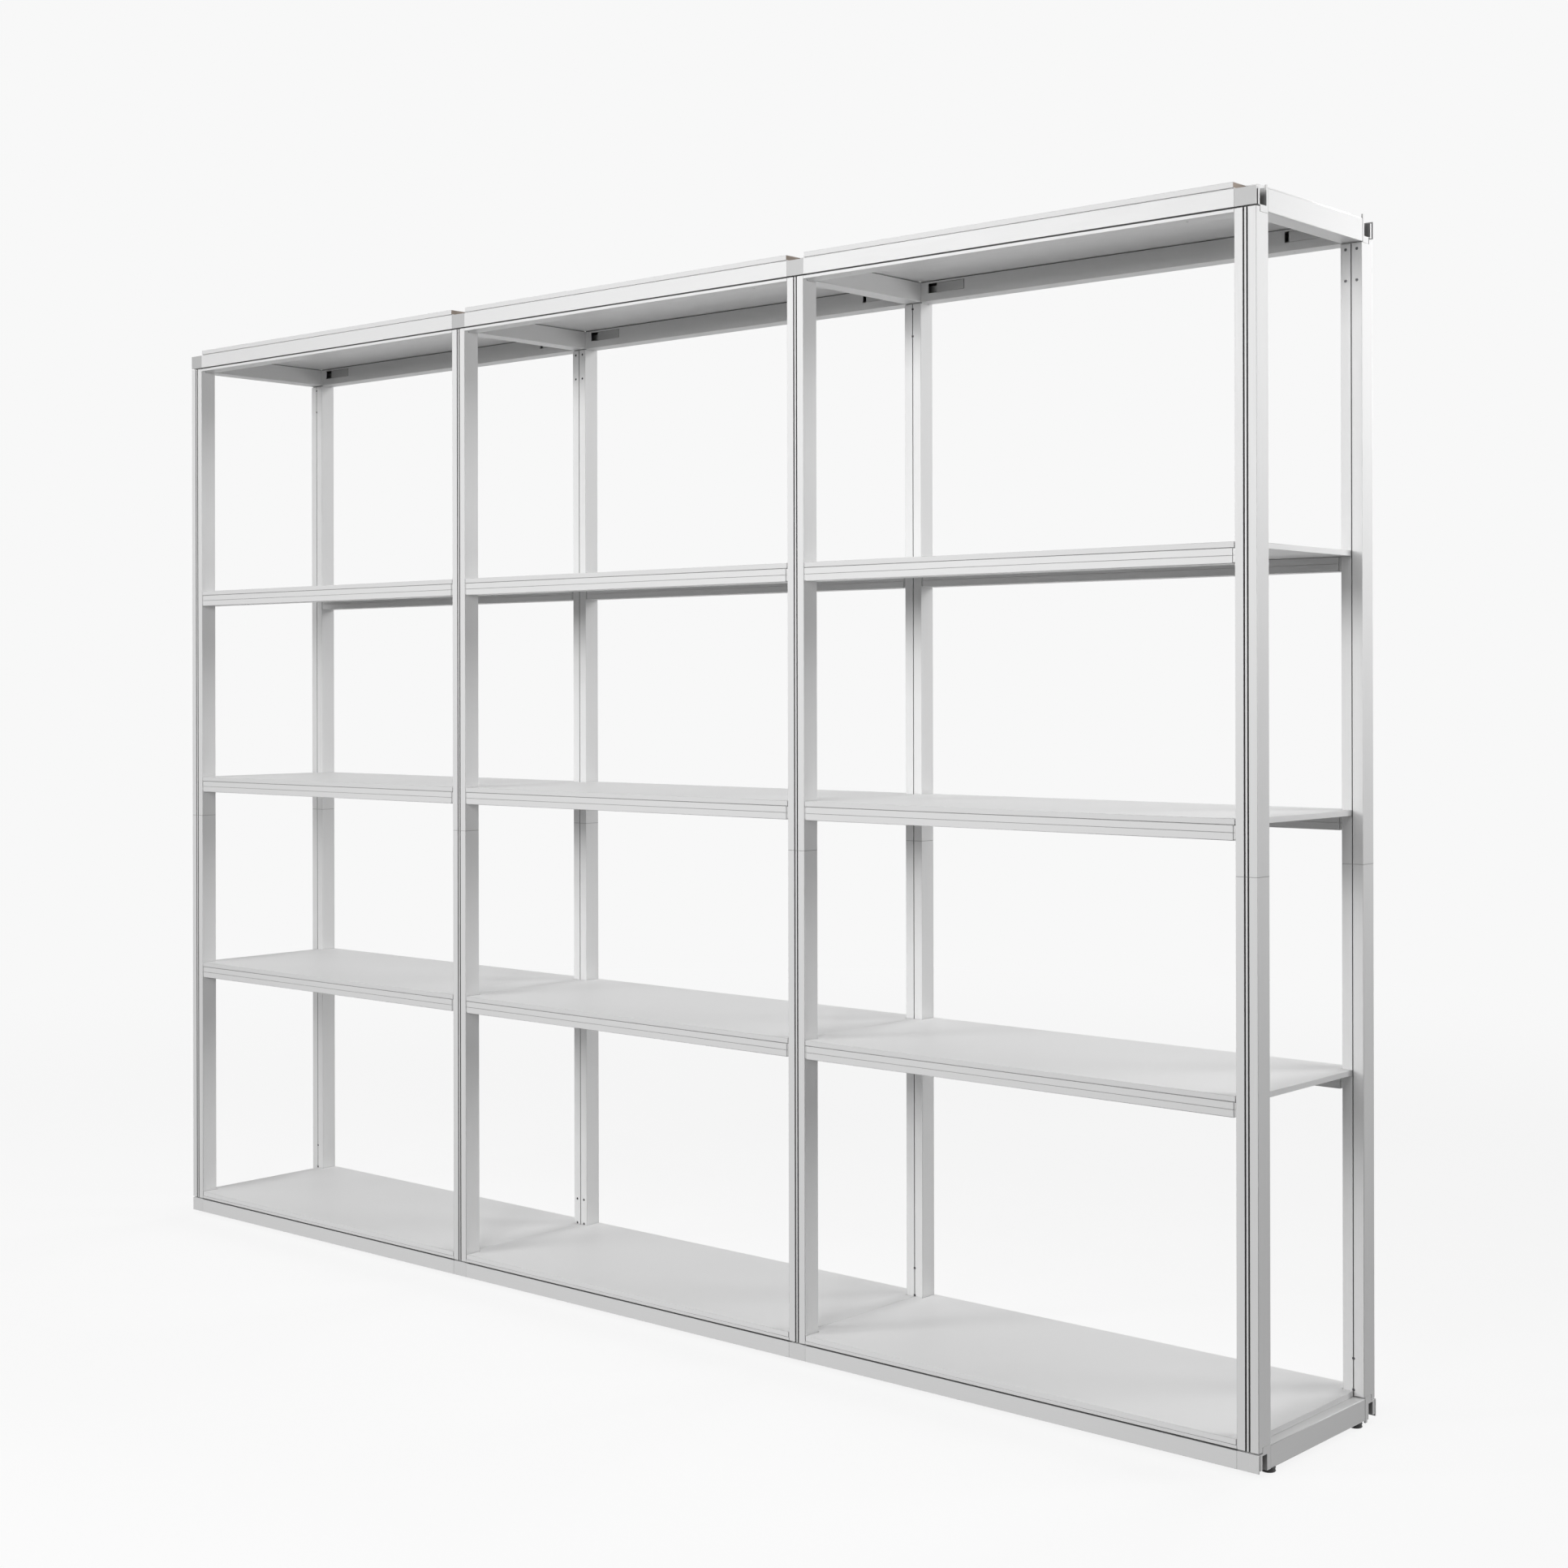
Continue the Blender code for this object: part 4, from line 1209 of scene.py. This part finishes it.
@dataclass
class LongRails(SubAssembly):
    """The rails along the row, grooved outside: six at the top, locks in the rear ones, and six below."""

    seat_setback: float = 0.003
    rebate: float = 0.0020
    end_wall: float = 0.002
    bolt_way: tuple[float, float] = (0.0140, 0.0290)
    round: float = 0.0005
    lip_round: float = 0.0003
    grub_radius: float = 0.0024
    grub_sunk: float = 0.0012
    grub_socket: float = 0.0012
    window_round: float = 0.0010

    def skin(self, level: Level) -> list[Corner]:
        """Draw the outside of a rail, in (inward, from the end of the frame), with a seat at the top.

        Args:
            level: The rail's end of the frame.

        Returns:
            The corners.
        """
        depth, rise, lip = STOCK.post_depth, STOCK.seat_rise, self.lip_round
        outside = [
            (0.0, 0.0, self.round), (0.0, STOCK.plate_height, lip),
            (STOCK.groove_depth, STOCK.plate_height, 0.0), (STOCK.groove_depth, STOCK.groove_end, 0.0),
            (0.0, STOCK.groove_end, lip), (0.0, STOCK.rail_height, self.round),
            (depth, STOCK.rail_height, self.round),
        ]
        if level is Level.BOTTOM:
            return [*outside, (depth, 0.0, lip)]
        inner, drop = depth - self.rebate, self.rebate - rise
        rebate = [(depth, drop, lip), (inner, drop, 0.0), (inner, -rise, lip)]
        return [*outside, *rebate, (self.seat_setback, -rise, lip), (self.seat_setback, 0.0, 0.0)]

    @property
    def core(self) -> list[Corner]:
        """The corners of a rail's hollow, which steps round the panel groove."""
        wall, low, high = STOCK.wall, STOCK.plate_height - STOCK.wall, STOCK.rail_height - STOCK.wall
        behind, back = STOCK.groove_depth + wall, STOCK.post_depth - wall
        places = [(wall, wall), (wall, low), (behind, low), (behind, high), (back, high), (back, wall)]
        return [(u, v, 0.0) for u, v in places]

    def shade_inside(self, rail: Shape) -> Shape:
        """Paint the panel groove, the hollow and the rebate of a rail in darker finishes, as painted shade.

        Args:
            rail: The rail.

        Returns:
            The same rail.
        """
        half, wall, depth = self.layout.span / 2, STOCK.wall, STOCK.post_depth
        shade(rail, (-half, self.lip_round, STOCK.plate_height), (half, STOCK.groove_depth, STOCK.groove_end))
        shade(rail, (-half, wall, wall), (half, depth - wall, STOCK.rail_height - wall))
        drop = self.rebate - STOCK.seat_rise
        shade(rail, (-half, depth - self.rebate, -STOCK.seat_rise), (half, depth - self.lip_round, drop), 2)
        return rail

    def window(self, side: Side) -> Shape:
        """Return the cutter of a lock's window at one end of a bay.

        Args:
            side: The end.

        Returns:
            The cutter.
        """
        start = self.layout.span / 2 - STOCK.window_start
        left, right = side.pair(start, start - STOCK.window_length)
        low, high = STOCK.window_drop, STOCK.window_drop + STOCK.window_height
        outline = rectangle((left, low), (right, high), self.window_round)
        middle = Matrix.Translation((0.0, STOCK.post_depth - STOCK.wall / 2, 0.0))
        return placed(extrusion(outline, STOCK.wall + 2 * OVERRUN), middle @ CROSSWISE)

    def locking(self, length: float) -> Shape:
        """Return a rear top rail with its two windows, and end walls that the locks' bolts pass through.

        Args:
            length: The length of the rail.

        Returns:
            The shape.
        """
        solid = placed(extrusion(self.skin(Level.TOP), length), LENGTHWISE)
        hollow = placed(extrusion(self.core, length - 2 * self.end_wall), LENGTHWISE)
        near, far = self.bolt_way
        middle, half = STOCK.window_drop + STOCK.window_height / 2, (far - near) / 2
        way = block((-length, near, middle - half), (length, far, middle + half))
        return cut(solid, hollow, way, *[self.window(side) for side in Side])

    def build(self) -> None:
        """Add the long rails and the grub screws of the top ones."""
        length = self.layout.span - 2 * STOCK.gap
        x = self.layout.span / 2 - STOCK.grub_start
        grub_places = [(place, STOCK.post_depth / 2, STOCK.rail_height) for place in (-x, x)]
        grub_head = self.grub_radius - STOCK.gap / 2
        grubs = Fasteners(self.shop, radius=grub_head, sunk=self.grub_sunk, socket_radius=self.grub_socket)
        holes = [rod(self.grub_radius, 3 * STOCK.wall, place) for place in grub_places]
        bottom, top = (hollow_bar(self.skin(level), self.core, length, LENGTHWISE) for level in Level)
        bottom = self.shade_inside(bottom)
        tops = {Row.FRONT: top, Row.REAR: self.locking(length)}
        tops = {row: self.shade_inside(cut(shape, *holes)) for row, shape in tops.items()}
        for row, (number, x) in product(Row, self.layout.bays):
            node = f"{row.word}_top_rail_{number}"
            matrix = self.layout.corner(x, row, Level.TOP)
            finishes = (LENGTHWISE_COAT, RAIL_GROOVE_SHADE, LINE_SHADE)
            self.shop.add(f"{node}_extrusion", tops[row], matrix, *finishes, replaces=node)
            grubs.add(f"{node}_grub_screws", grub_places, matrix, UPRIGHT)
            matrix = self.layout.corner(x, row, Level.BOTTOM)
            self.shop.add(f"{row.word}_bottom_rail_{number}", bottom, matrix, LENGTHWISE_COAT, GROOVE_SHADE)


@dataclass
class SideRails(SubAssembly):
    """The eight rails from front to rear, plain square tubes over the arms of the corner blocks."""

    round: float = 0.0014
    lip_round: float = 0.0003
    rebate: float = 0.0018
    stud_hole: float = 0.0046

    def rebated_sides(self, level: Level, number: int) -> list[Side]:
        """Return the sides on which a board lies on a top rail."""
        outer = {1: Side.LEFT, len(self.layout.post_x): Side.RIGHT}.get(number)
        return [side for side in Side if level is Level.TOP and side is not outer]

    def shoulder(self, side: Side, rise: float, rebated: bool) -> list[Corner]:
        """Return the upper corners of a rail on one side, from the outside inwards.

        Args:
            side: The side.
            rise: How far the rail rises past the end of the frame.
            rebated: Whether a shadow line is cut there, under the board.

        Returns:
            The corners.
        """
        outer, inner = side.sign * STOCK.half, side.sign * (STOCK.half - self.rebate)
        drop = self.rebate - rise
        if not rebated:
            return [(outer, -rise, self.round)]
        return [(outer, drop, self.lip_round), (inner, drop, 0.0), (inner, -rise, self.lip_round)]

    def shape(self, level: Level, length: float, rebated: Sequence[Side]) -> Shape:
        """Return a side rail in the frame of its end, about its own middle.

        Args:
            level: The rail's end of the frame.
            length: Its length.
            rebated: The sides with a shadow line under the board.

        Returns:
            The shape.
        """
        half, wall, height = STOCK.half, STOCK.wall, STOCK.rail_height
        rise = STOCK.seat_rise if level is Level.TOP else 0.0
        left, right = (self.shoulder(side, rise, side in rebated) for side in Side)
        skin = [(-half, height, self.round), *left, *reversed(right), (half, height, self.round)]
        core = rectangle((wall - half, wall), (half - wall, height - wall))
        rail = hollow_bar(skin, core, length, CROSSWISE)
        # Painted shade: the rebates under the board get the dark line finish.
        for side in rebated:
            near, far = side.pair(half - self.rebate, half - self.lip_round)
            shade(rail, (near, -length, -rise), (far, length, self.rebate - rise))
        return rail

    def build(self) -> None:
        """Add the side rails, the lower ones drilled for the feet."""
        for level, (number, x) in product(Level, self.layout.posts):
            node = f"{level.word}_side_rail_{number}"
            low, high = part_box(node)
            place = Matrix.Translation((x, (low.y + high.y) / 2, self.layout.end(level)))
            matrix = place @ Matrix.Diagonal((1.0, 1.0, level.sign, 1.0))
            shape = placed(self.shape(level, high.y - low.y, self.rebated_sides(level, number)), matrix)
            if level is Level.BOTTOM:
                feet = [sum(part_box(f"{row.word}_foot_{number}"), Vector()) / 2 for row in Row]
                places = [(foot.x, foot.y, self.layout.base) for foot in feet]
                shape = cut(shape, *[rod(self.stud_hole, 3 * STOCK.wall, place) for place in places])
            self.shop.add(f"{node}_tube", shape, UPRIGHT, CROSSWISE_COAT, LINE_SHADE, replaces=node)


# Boards and shelves


@dataclass
class Decks(SubAssembly):
    """The boards of the five levels, with the rails and brackets that carry the three shelves."""

    joint: float = 0.0006
    notch_clearance: float = 0.002
    skin_thickness: float = 0.0006
    board_round: float = 0.0005
    squareness: float = 0.9
    rail_height: float = 0.027
    rail_depth: float = 0.040
    rail_wall: float = 0.0015
    rail_round: float = 0.0012
    lip_round: float = 0.0002
    score_width: float = 0.0009
    score_depth: float = 0.0012
    seat_line: float = 0.0012
    seat_line_depth: float = 0.0025
    bracket_width: float = 0.005
    bracket_setback: float = 0.0012
    lowest: str = "bottom_deck"
    shelves: tuple[str, ...] = ("low_shelf", "middle_shelf", "high_shelf")
    highest: str = "top_board"

    def board(self, raw_notches: bool) -> Shape:
        """Return a board about the middle of its bay, its underside on z = 0.

        Args:
            raw_notches: Whether the notches show the core between two thin skins, or are banded too.

        Returns:
            The board.
        """
        layout = self.layout
        end, shoulder = (layout.pitch - self.joint) / 2, layout.span / 2 - self.notch_clearance
        front, rear = (layout.inward(row, STOCK.post_depth + self.notch_clearance) for row in Row)
        places = [(shoulder, layout.front), (shoulder, front), (end, front)]
        places += [(end, rear), (shoulder, rear), (shoulder, layout.rear)]
        shape = extrusion(mirrored([(u, v, 0.0) for u, v in places]), STOCK.board_thickness)
        bmesh.ops.translate(shape, verts=shape.verts, vec=(0.0, 0.0, STOCK.board_thickness / 2))
        round_edges(shape, [edge for edge in shape.edges if self.is_banded(edge, end)], self.board_round)
        if raw_notches:
            self.show_core(shape, shoulder)
        # Painted shade: faces that look to the front or the rear get the third finish, a darker band on all
        # but the bottom deck.
        shade_facing(shape, 1, self.squareness, 2)
        return shape

    def is_banded(self, edge: BMEdge, end: float) -> bool:
        """Return whether an edge runs along a long side or an end of the board.

        Args:
            edge: The edge.
            end: The X of the end.

        Returns:
            Whether it does.
        """
        first, second = (vert.co for vert in edge.verts)
        if abs(first.z - second.z) > NEAR:
            return False
        sides = (self.layout.front, self.layout.rear)
        on_side = any(abs(first.y - y) < NEAR and abs(second.y - y) < NEAR for y in sides)
        return on_side or (abs(abs(first.x) - end) < NEAR and abs(first.x - second.x) < NEAR)

    def show_core(self, shape: Shape, shoulder: float) -> None:
        """Split the end sides of the notches into skins and core, and give the core its own finish.

        Args:
            shape: The board.
            shoulder: The X of the notches' end sides.
        """
        low, high = self.skin_thickness, STOCK.board_thickness - self.skin_thickness
        slice_at(shape, low)
        slice_at(shape, high)
        for face in shape.faces:
            centre = face.calc_center_median()
            face.material_index = int(low < centre.z < high and abs(abs(centre.x) - shoulder) < NEAR)

    def rail(self) -> Shape:
        """Return a shelf rail in its row's frame, up from its underside, scored along both faces.

        Returns:
            The shape.
        """
        depth, height, wall = self.rail_depth, self.rail_height, self.rail_wall + self.score_depth
        low, high = (height - self.score_width) / 2, (height + self.score_width) / 2
        line, seat, lip = height - self.seat_line, self.seat_line_depth, self.lip_round
        front = [
            (seat, height, 0.0), (seat, line, 0.0), (0.0, line, lip), (0.0, high, lip),
            (self.score_depth, high, 0.0), (self.score_depth, low, 0.0), (0.0, low, lip),
            (0.0, 0.0, self.rail_round),
        ]
        core = rectangle((wall, self.rail_wall), (depth - wall, height - self.rail_wall))
        half, length = self.layout.span / 2, self.layout.span - 2 * self.bracket_width
        rail = hollow_bar(mirrored(front, depth), core, length, LENGTHWISE)
        # Painted shade: the outer score line gets the groove finish, and both seat lines under the board a
        # darker one.
        shade(rail, (-half, lip, low), (half, self.score_depth, high))
        for near, far in ((lip, seat), (depth - seat, depth - lip)):
            shade(rail, (-half, near, line), (half, far, height), 2)
        return rail

    def bracket(self, side: Side) -> Shape:
        """Return the bracket plate at one end of a shelf rail, scored like the rail.

        Args:
            side: The end.

        Returns:
            The closed shape.
        """
        inset, height, lip = self.bracket_setback, self.rail_height, self.lip_round
        low, high = (height - self.score_width) / 2 - lip, (height + self.score_width) / 2 + lip
        front = [
            (inset, height - self.seat_line, lip), (inset, high, lip),
            (inset + self.score_depth, high, 0.0), (inset + self.score_depth, low, 0.0),
            (inset, low, lip), (inset, inset, self.rail_round),
        ]
        outline = mirrored(front, self.rail_depth)
        plate = placed(extrusion(outline, self.bracket_width - 2 * STOCK.gap), LENGTHWISE)
        middle = side.sign * (self.layout.span - self.bracket_width) / 2
        return placed(plate, Matrix.Translation((middle, 0.0, 0.0)))

    def build(self) -> None:
        """Add the boards, and the rails and brackets of the shelves."""
        rail, boards = self.rail(), {raw: self.board(raw) for raw in (False, True)}
        brackets = gathered(self.bracket(side) for side in Side)
        for level, (number, x) in product((self.lowest, *self.shelves, self.highest), self.layout.bays):
            node = f"{level}_{number}"
            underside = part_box(node)[1].z - STOCK.board_thickness
            # The bottom deck's front and rear edges keep the laminate, and the other boards' edges get the
            # darker band, painted as shade.
            finishes = (WHITE_LAMINATE, BOARD_CORE, WHITE_LAMINATE if level == self.lowest else BOARD_BAND_SHADED)
            panel, place = boards[level == self.highest], Matrix.Translation((x, 0.0, underside))
            self.shop.add(f"{node}_panel", panel, place, *finishes, replaces=node)
            if level not in self.shelves:
                continue
            frames = {row: self.layout.upright(x, row, underside - self.rail_height) for row in Row}
            for row, matrix in frames.items():
                finishes = (LENGTHWISE_COAT, RAIL_GROOVE_SHADE, SEAT_SHADE)
                self.shop.add(f"{node}_{row.word}_rail", rail, matrix, *finishes)
            pairs = gathered(placed(brackets, matrix) for matrix in frames.values())
            self.shop.add(f"{node}_brackets", pairs, UPRIGHT, BRACKET_GREY)


# Moving pieces


@dataclass
class Locks(SubAssembly):
    """The six sliding locks in the rear top rails: a plate in the window, a flange behind it, and a bolt."""

    plate_length: float = 0.0715
    recess: float = 0.0006
    flange_lip: float = 0.0012
    flange_thickness: float = 0.002
    plate_gap: float = 0.0012
    round: float = 0.0003
    bolt_size: float = 0.014
    bolt_inset: float = 0.0145
    bolt_round: float = 0.0012
    neck_setback: float = 0.0012

    def shape(self, reach: float) -> Shape:
        """Return a lock whose bolt points along x, about the inner end of its window.

        Args:
            reach: How far the bolt's tip lies from the inner end of the window.

        Returns:
            The closed shape in its row's frame, z across the window.
        """
        gap, depth = STOCK.gap, STOCK.post_depth
        behind, half = depth - STOCK.wall - gap, STOCK.window_height / 2 + self.flange_lip
        length, middle = self.plate_length + self.flange_lip, behind - self.flange_thickness / 2
        slider = block((gap, behind - self.flange_thickness, -half), (length, behind, half))
        face = farthest(slider, 1)
        bmesh.ops.inset_region(slider, faces=[face], thickness=self.flange_lip + self.plate_gap)
        draw_out(slider, face, (0.0, depth - self.recess - behind, 0.0))
        outwards(slider)
        round_edges(slider, sharp_edges(slider), self.round)
        # Painted shade: the ring round the plate and the plate's sides get the dark lock shade.
        shade(slider, (0.0, middle, -half), (length, depth - self.recess - self.round, half))
        bolt, inset, setback = self.bolt_size / 2, self.bolt_inset, self.neck_setback
        low = (2 * gap, inset + bolt, -bolt + setback)
        neck = block(low, (self.plate_length - setback, middle, bolt - setback))
        bar = block((gap, inset, -bolt), (reach, inset + self.bolt_size, bolt), self.bolt_round)
        return joined(slider, neck, bar)

    def build(self) -> None:
        """Add the locks, each where its solid stands."""
        for side, (number, _) in product(Side, self.layout.bays):
            node = f"lock_{number}_{side.word}"
            low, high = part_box(node)
            root = (low.x if side is Side.RIGHT else high.x) - side.sign * STOCK.gap
            place = Matrix.Translation((root, self.layout.rear, (low.z + high.z) / 2))
            matrix = place @ Matrix.Diagonal((side.sign, -1.0, 1.0, 1.0))
            shape, body = self.shape(high.x - low.x + STOCK.gap), f"{node}_body"
            self.shop.add(f"{node}_slider", shape, matrix, LOCK_GREY, LOCK_SHADE, body=body, replaces=node)


@dataclass
class Feet(SubAssembly):
    """The eight levelling feet: a black pad on a threaded stud."""

    pad_radius: float = 0.0125
    pad_height: float = 0.0087
    waist: float = 0.0008
    edge: float = 0.0016
    edge_steps: int = 3
    stud_radius: float = 0.004
    thread_depth: float = 0.0006
    thread_pitch: float = 0.00125
    steps: int = 40

    def pad(self) -> Shape:
        """Return the pad, with a rounded rim, a waist and a hollow underside.

        Returns:
            The closed shape.
        """
        radius, height, edge = self.pad_radius, self.pad_height, self.edge
        arc = [math.radians(90 * step / self.edge_steps) for step in range(self.edge_steps + 1)]
        top = [(radius - edge + edge * math.sin(a), height - edge + edge * math.cos(a)) for a in arc]
        foot = [(radius - edge + edge * math.cos(a), edge - edge * math.sin(a)) for a in arc]
        waist = [(radius - self.waist, height - 2 * edge), (radius - self.waist, 2 * edge)]
        under = [(radius / 2, 0.0), (radius / 2 - edge / 2, edge / 2), (0.0, edge / 2)]
        return spun([(0.0, height), *top, *waist, *foot, *under], self.steps)

    def stud(self, top: float) -> Shape:
        """Return the threaded stud, its thread as close rings, from inside the pad to its tip.

        Args:
            top: The height of the tip.

        Returns:
            The closed shape.
        """
        start, pitch = self.pad_height - self.edge, self.thread_pitch
        root = self.stud_radius - self.thread_depth
        profile = [(0.0, top), (self.stud_radius - 2 * self.thread_depth, top)]
        for turn in range(int((top - pitch - self.pad_height) / pitch)):
            height = top - self.thread_depth - turn * pitch
            profile += [(root, height), (self.stud_radius, height - pitch / 2)]
        profile += [(root, self.pad_height), (self.stud_radius, start), (0.0, start)]
        return spun(profile, self.steps // 2)

    def build(self) -> None:
        """Add the feet, each where its solid stands."""
        for row, (number, _) in product(Row, self.layout.posts):
            node = f"{row.word}_foot_{number}"
            low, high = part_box(node)
            centre = Matrix.Translation(((low.x + high.x) / 2, (low.y + high.y) / 2, low.z))
            body, stud = f"{node}_body", self.stud(high.z - low.z)
            self.shop.add(f"{node}_pad", self.pad(), centre, BLACK_PAD, body=body, replaces=node, smooth=True)
            self.shop.add(f"{node}_stud", stud, centre, BRIGHT_STEEL, body=body, smooth=True)


# Studio


def hang(data: bpy.types.Light, place: Vector, away: Vector) -> None:
    """Add a lamp that the camera doesn't see.

    Args:
        data: The lamp.
        place: Where it hangs.
        away: The direction from what it lights to the lamp.
    """
    lamp = bpy.data.objects.new(data.name, data)
    lamp.matrix_world = Matrix.Translation(place) @ away.to_track_quat("Z", "Y").to_matrix().to_4x4()
    lamp.visible_camera = False
    bpy.context.scene.collection.objects.link(lamp)


@dataclass(frozen=True)
class SoftBox:
    """A soft box that looks at a point of the rack."""

    name: str
    place: tuple[float, float, float]
    target: tuple[float, float, float]
    width: float
    height: float
    power: float

    def build(self) -> None:
        """Add the soft box."""
        data = bpy.data.lights.new(self.name, "AREA")
        data.shape = "RECTANGLE"
        data.size, data.size_y, data.energy = self.width, self.height, self.power
        hang(data, Vector(self.place), Vector(self.place) - Vector(self.target))


@dataclass(frozen=True)
class FarLight:
    """A broad light from far away, by its bearing from the rack's front towards its right, and its height."""

    name: str
    bearing: float
    elevation: float
    spread: float
    strength: float

    def build(self) -> None:
        """Add the light."""
        data = bpy.data.lights.new(self.name, "SUN")
        data.energy, data.angle = self.strength, math.radians(self.spread)
        turn, height = math.radians(self.bearing), math.radians(self.elevation)
        level = math.cos(height)
        away = Vector((math.sin(turn) * level, -math.cos(turn) * level, math.sin(height)))
        hang(data, away, away)


@dataclass(frozen=True)
class FloorRing:
    """A ring of the floor that lights the rack from below, with its strengths before and behind the rack."""

    inner: float
    outer: float
    front: float
    rear: float


@dataclass
class Studio:
    """The pale floor, the white surround, the lamps and the camera that took the picture."""

    background: float = 0.9387
    ambient: float = 0.10
    floor_glow: float = 1.0
    floor_flatness: float = 0.85
    near_floor: float = 2.5
    far_floor: float = 6.0
    floor_size: float = 120.0
    ring_blend: float = 0.2
    camera_place: tuple[float, float, float] = (3.4923, -3.6632, 1.3278)
    camera_yaw: float = math.radians(41.192)
    camera_pitch: float = math.radians(0.035)
    camera_roll: float = math.radians(-0.117)
    camera_lens: float = 53.51
    camera_shift: float = -0.0628
    sensor: float = 36.0
    lamps: tuple[SoftBox | FarLight, ...] = (
        FarLight("front_left_light", -35.0, 10.0, 14.0, 0.49),
        FarLight("rear_light", 180.0, 20.0, 24.0, 1.30),
        FarLight("rear_right_light", 130.0, 20.0, 24.0, 0.80),
        SoftBox("far_left_box", (-2.4, -4.8, 2.5), (-1.92, 0.0, 1.6), 1.3, 1.3, 38.6),
        SoftBox("far_middle_box", (-0.8, -4.8, 2.5), (-0.64, 0.0, 1.6), 1.3, 1.3, 28.7),
        SoftBox("far_right_box", (2.4, -4.8, 2.5), (1.92, 0.0, 1.6), 1.3, 1.3, 35.0),
        SoftBox("high_left_box", (-1.6, -3.2, 3.0), (-1.28, 0.0, 1.6), 1.2, 0.8, 18.2),
        SoftBox("high_right_box", (1.6, -3.2, 3.0), (1.28, 0.0, 1.6), 1.2, 0.8, 16.6),
        SoftBox("low_box", (0.8, -3.2, 2.25), (0.64, 0.0, 1.6), 0.8, 1.0, 13.6),
        SoftBox("right_box", (2.45, 0.55, 2.05), (1.2, 0.0, 1.8), 0.8, 0.8, 7.4),
    )
    floor_rings: tuple[FloorRing, ...] = (FloorRing(0.0, 2.2, 0.21, 0.14), FloorRing(4.5, 12.0, 0.0, 1.60))

    @staticmethod
    def by_ray(graph: Graph, light: Socket, shown: Socket) -> Socket:
        """Choose between two shaders by the kind of ray.

        Args:
            graph: The graph of the surround or the floor.
            light: What a ray finds that only carries light.
            shown: What a ray from the camera, a reflection or glass finds.

        Returns:
            The chosen shader.
        """
        path = graph.add("ShaderNodeLightPath").outputs
        shine = graph.math("MAXIMUM", path["Is Glossy Ray"], path["Is Transmission Ray"])
        seen = graph.math("MAXIMUM", path["Is Camera Ray"], shine)
        return graph.wired("ShaderNodeMixShader", seen, light, shown)

    def build_world(self) -> None:
        """Make the surround: white to the eye, and an even light on the rack."""
        world = bpy.data.worlds.new("surround")
        world.use_nodes = True
        world.node_tree.nodes.clear()
        bpy.context.scene.world = world
        graph = Graph(world.node_tree)
        light = graph.wired("ShaderNodeBackground", WHITE, self.ambient)
        shown = graph.wired("ShaderNodeBackground", WHITE, self.background)
        graph.feed(graph.add("ShaderNodeOutputWorld").inputs[0], self.by_ray(graph, light, shown))

    def floor_light(self, graph: Graph, reach: Socket) -> Socket:
        """Return the strength of the light that the floor sends up, ring by ring.

        Args:
            graph: The floor's graph.
            reach: The distance from the middle of the floor.

        Returns:
            The strength.
        """
        along, total = graph.part(graph.place(), "Y"), 0.0
        for ring in self.floor_rings:
            middle, half = (ring.inner + ring.outer) / 2, (ring.outer - ring.inner) / 2
            strength = graph.spread(along, -self.ring_blend, self.ring_blend, ring.front, ring.rear)
            inside = graph.math("MULTIPLY", graph.math("COMPARE", reach, middle, half), strength)
            total = graph.math("ADD", total, inside)
        return total

    def floor_material(self) -> bpy.types.Material:
        """Make the floor's material: pale to the eye with a soft shadow, and soft light to the rack.

        Returns:
            The material.
        """
        pale = bpy.data.materials.new("pale_floor")
        pale.use_nodes = True
        pale.node_tree.nodes.clear()
        graph = Graph(pale.node_tree)
        reach = graph.wired("ShaderNodeVectorMath", graph.place(), operation="LENGTH").node.outputs["Value"]
        span = (self.near_floor, self.far_floor)
        lit = graph.wired("ShaderNodeBsdfDiffuse", (*grey(self.background), 1.0))
        brightness = graph.spread(reach, *span, self.floor_glow, self.background)
        glow = graph.wired("ShaderNodeEmission", WHITE, brightness)
        flatness = graph.spread(reach, *span, self.floor_flatness, 1.0)
        sent = graph.wired("ShaderNodeEmission", WHITE, self.floor_light(graph, reach))
        seen = graph.wired("ShaderNodeMixShader", flatness, lit, glow)
        graph.feed(graph.add("ShaderNodeOutputMaterial").inputs[0], self.by_ray(graph, sent, seen))
        return pale

    def build_floor(self) -> None:
        """Add the floor."""
        shape = bmesh.new()
        bmesh.ops.create_grid(shape, x_segments=1, y_segments=1, size=self.floor_size / 2)
        mesh = bpy.data.meshes.new("floor")
        shape.to_mesh(mesh)
        mesh.materials.append(self.floor_material())
        floor = bpy.data.objects.new("floor", mesh)
        bpy.context.scene.collection.objects.link(floor)

    def build_camera(self) -> None:
        """Add the camera, at the place and with the lens that a fit to the picture's edges gives."""
        data = bpy.data.cameras.new("camera")
        data.sensor_width, data.lens, data.shift_y = self.sensor, self.camera_lens, self.camera_shift
        camera = bpy.data.objects.new("camera", data)
        bpy.context.scene.collection.objects.link(camera)
        place = Matrix.Translation(self.camera_place)
        turns = ((self.camera_yaw, "Z"), (math.pi / 2 + self.camera_pitch, "X"), (self.camera_roll, "Z"))
        for angle, axis in turns:
            place = place @ Matrix.Rotation(angle, 4, axis)
        camera.matrix_world = place
        bpy.context.scene.camera = camera

    def build(self) -> None:
        """Add the whole studio."""
        self.build_world()
        self.build_floor()
        self.build_camera()
        for lamp in self.lamps:
            lamp.build()
        bpy.context.scene.view_settings.view_transform = "Standard"


def main() -> None:
    """Build the rack and its studio."""
    logging.basicConfig(level=logging.INFO, format="%(message)s")
    Studio().build()
    shop = Workshop(Layout.read())
    for part in (Posts, CornerBlocks, LongRails, SideRails, Decks, Locks, Feet):
        part(shop).build()
    log.info("%d pieces", shop.count)


if __name__ == "__main__":
    main()
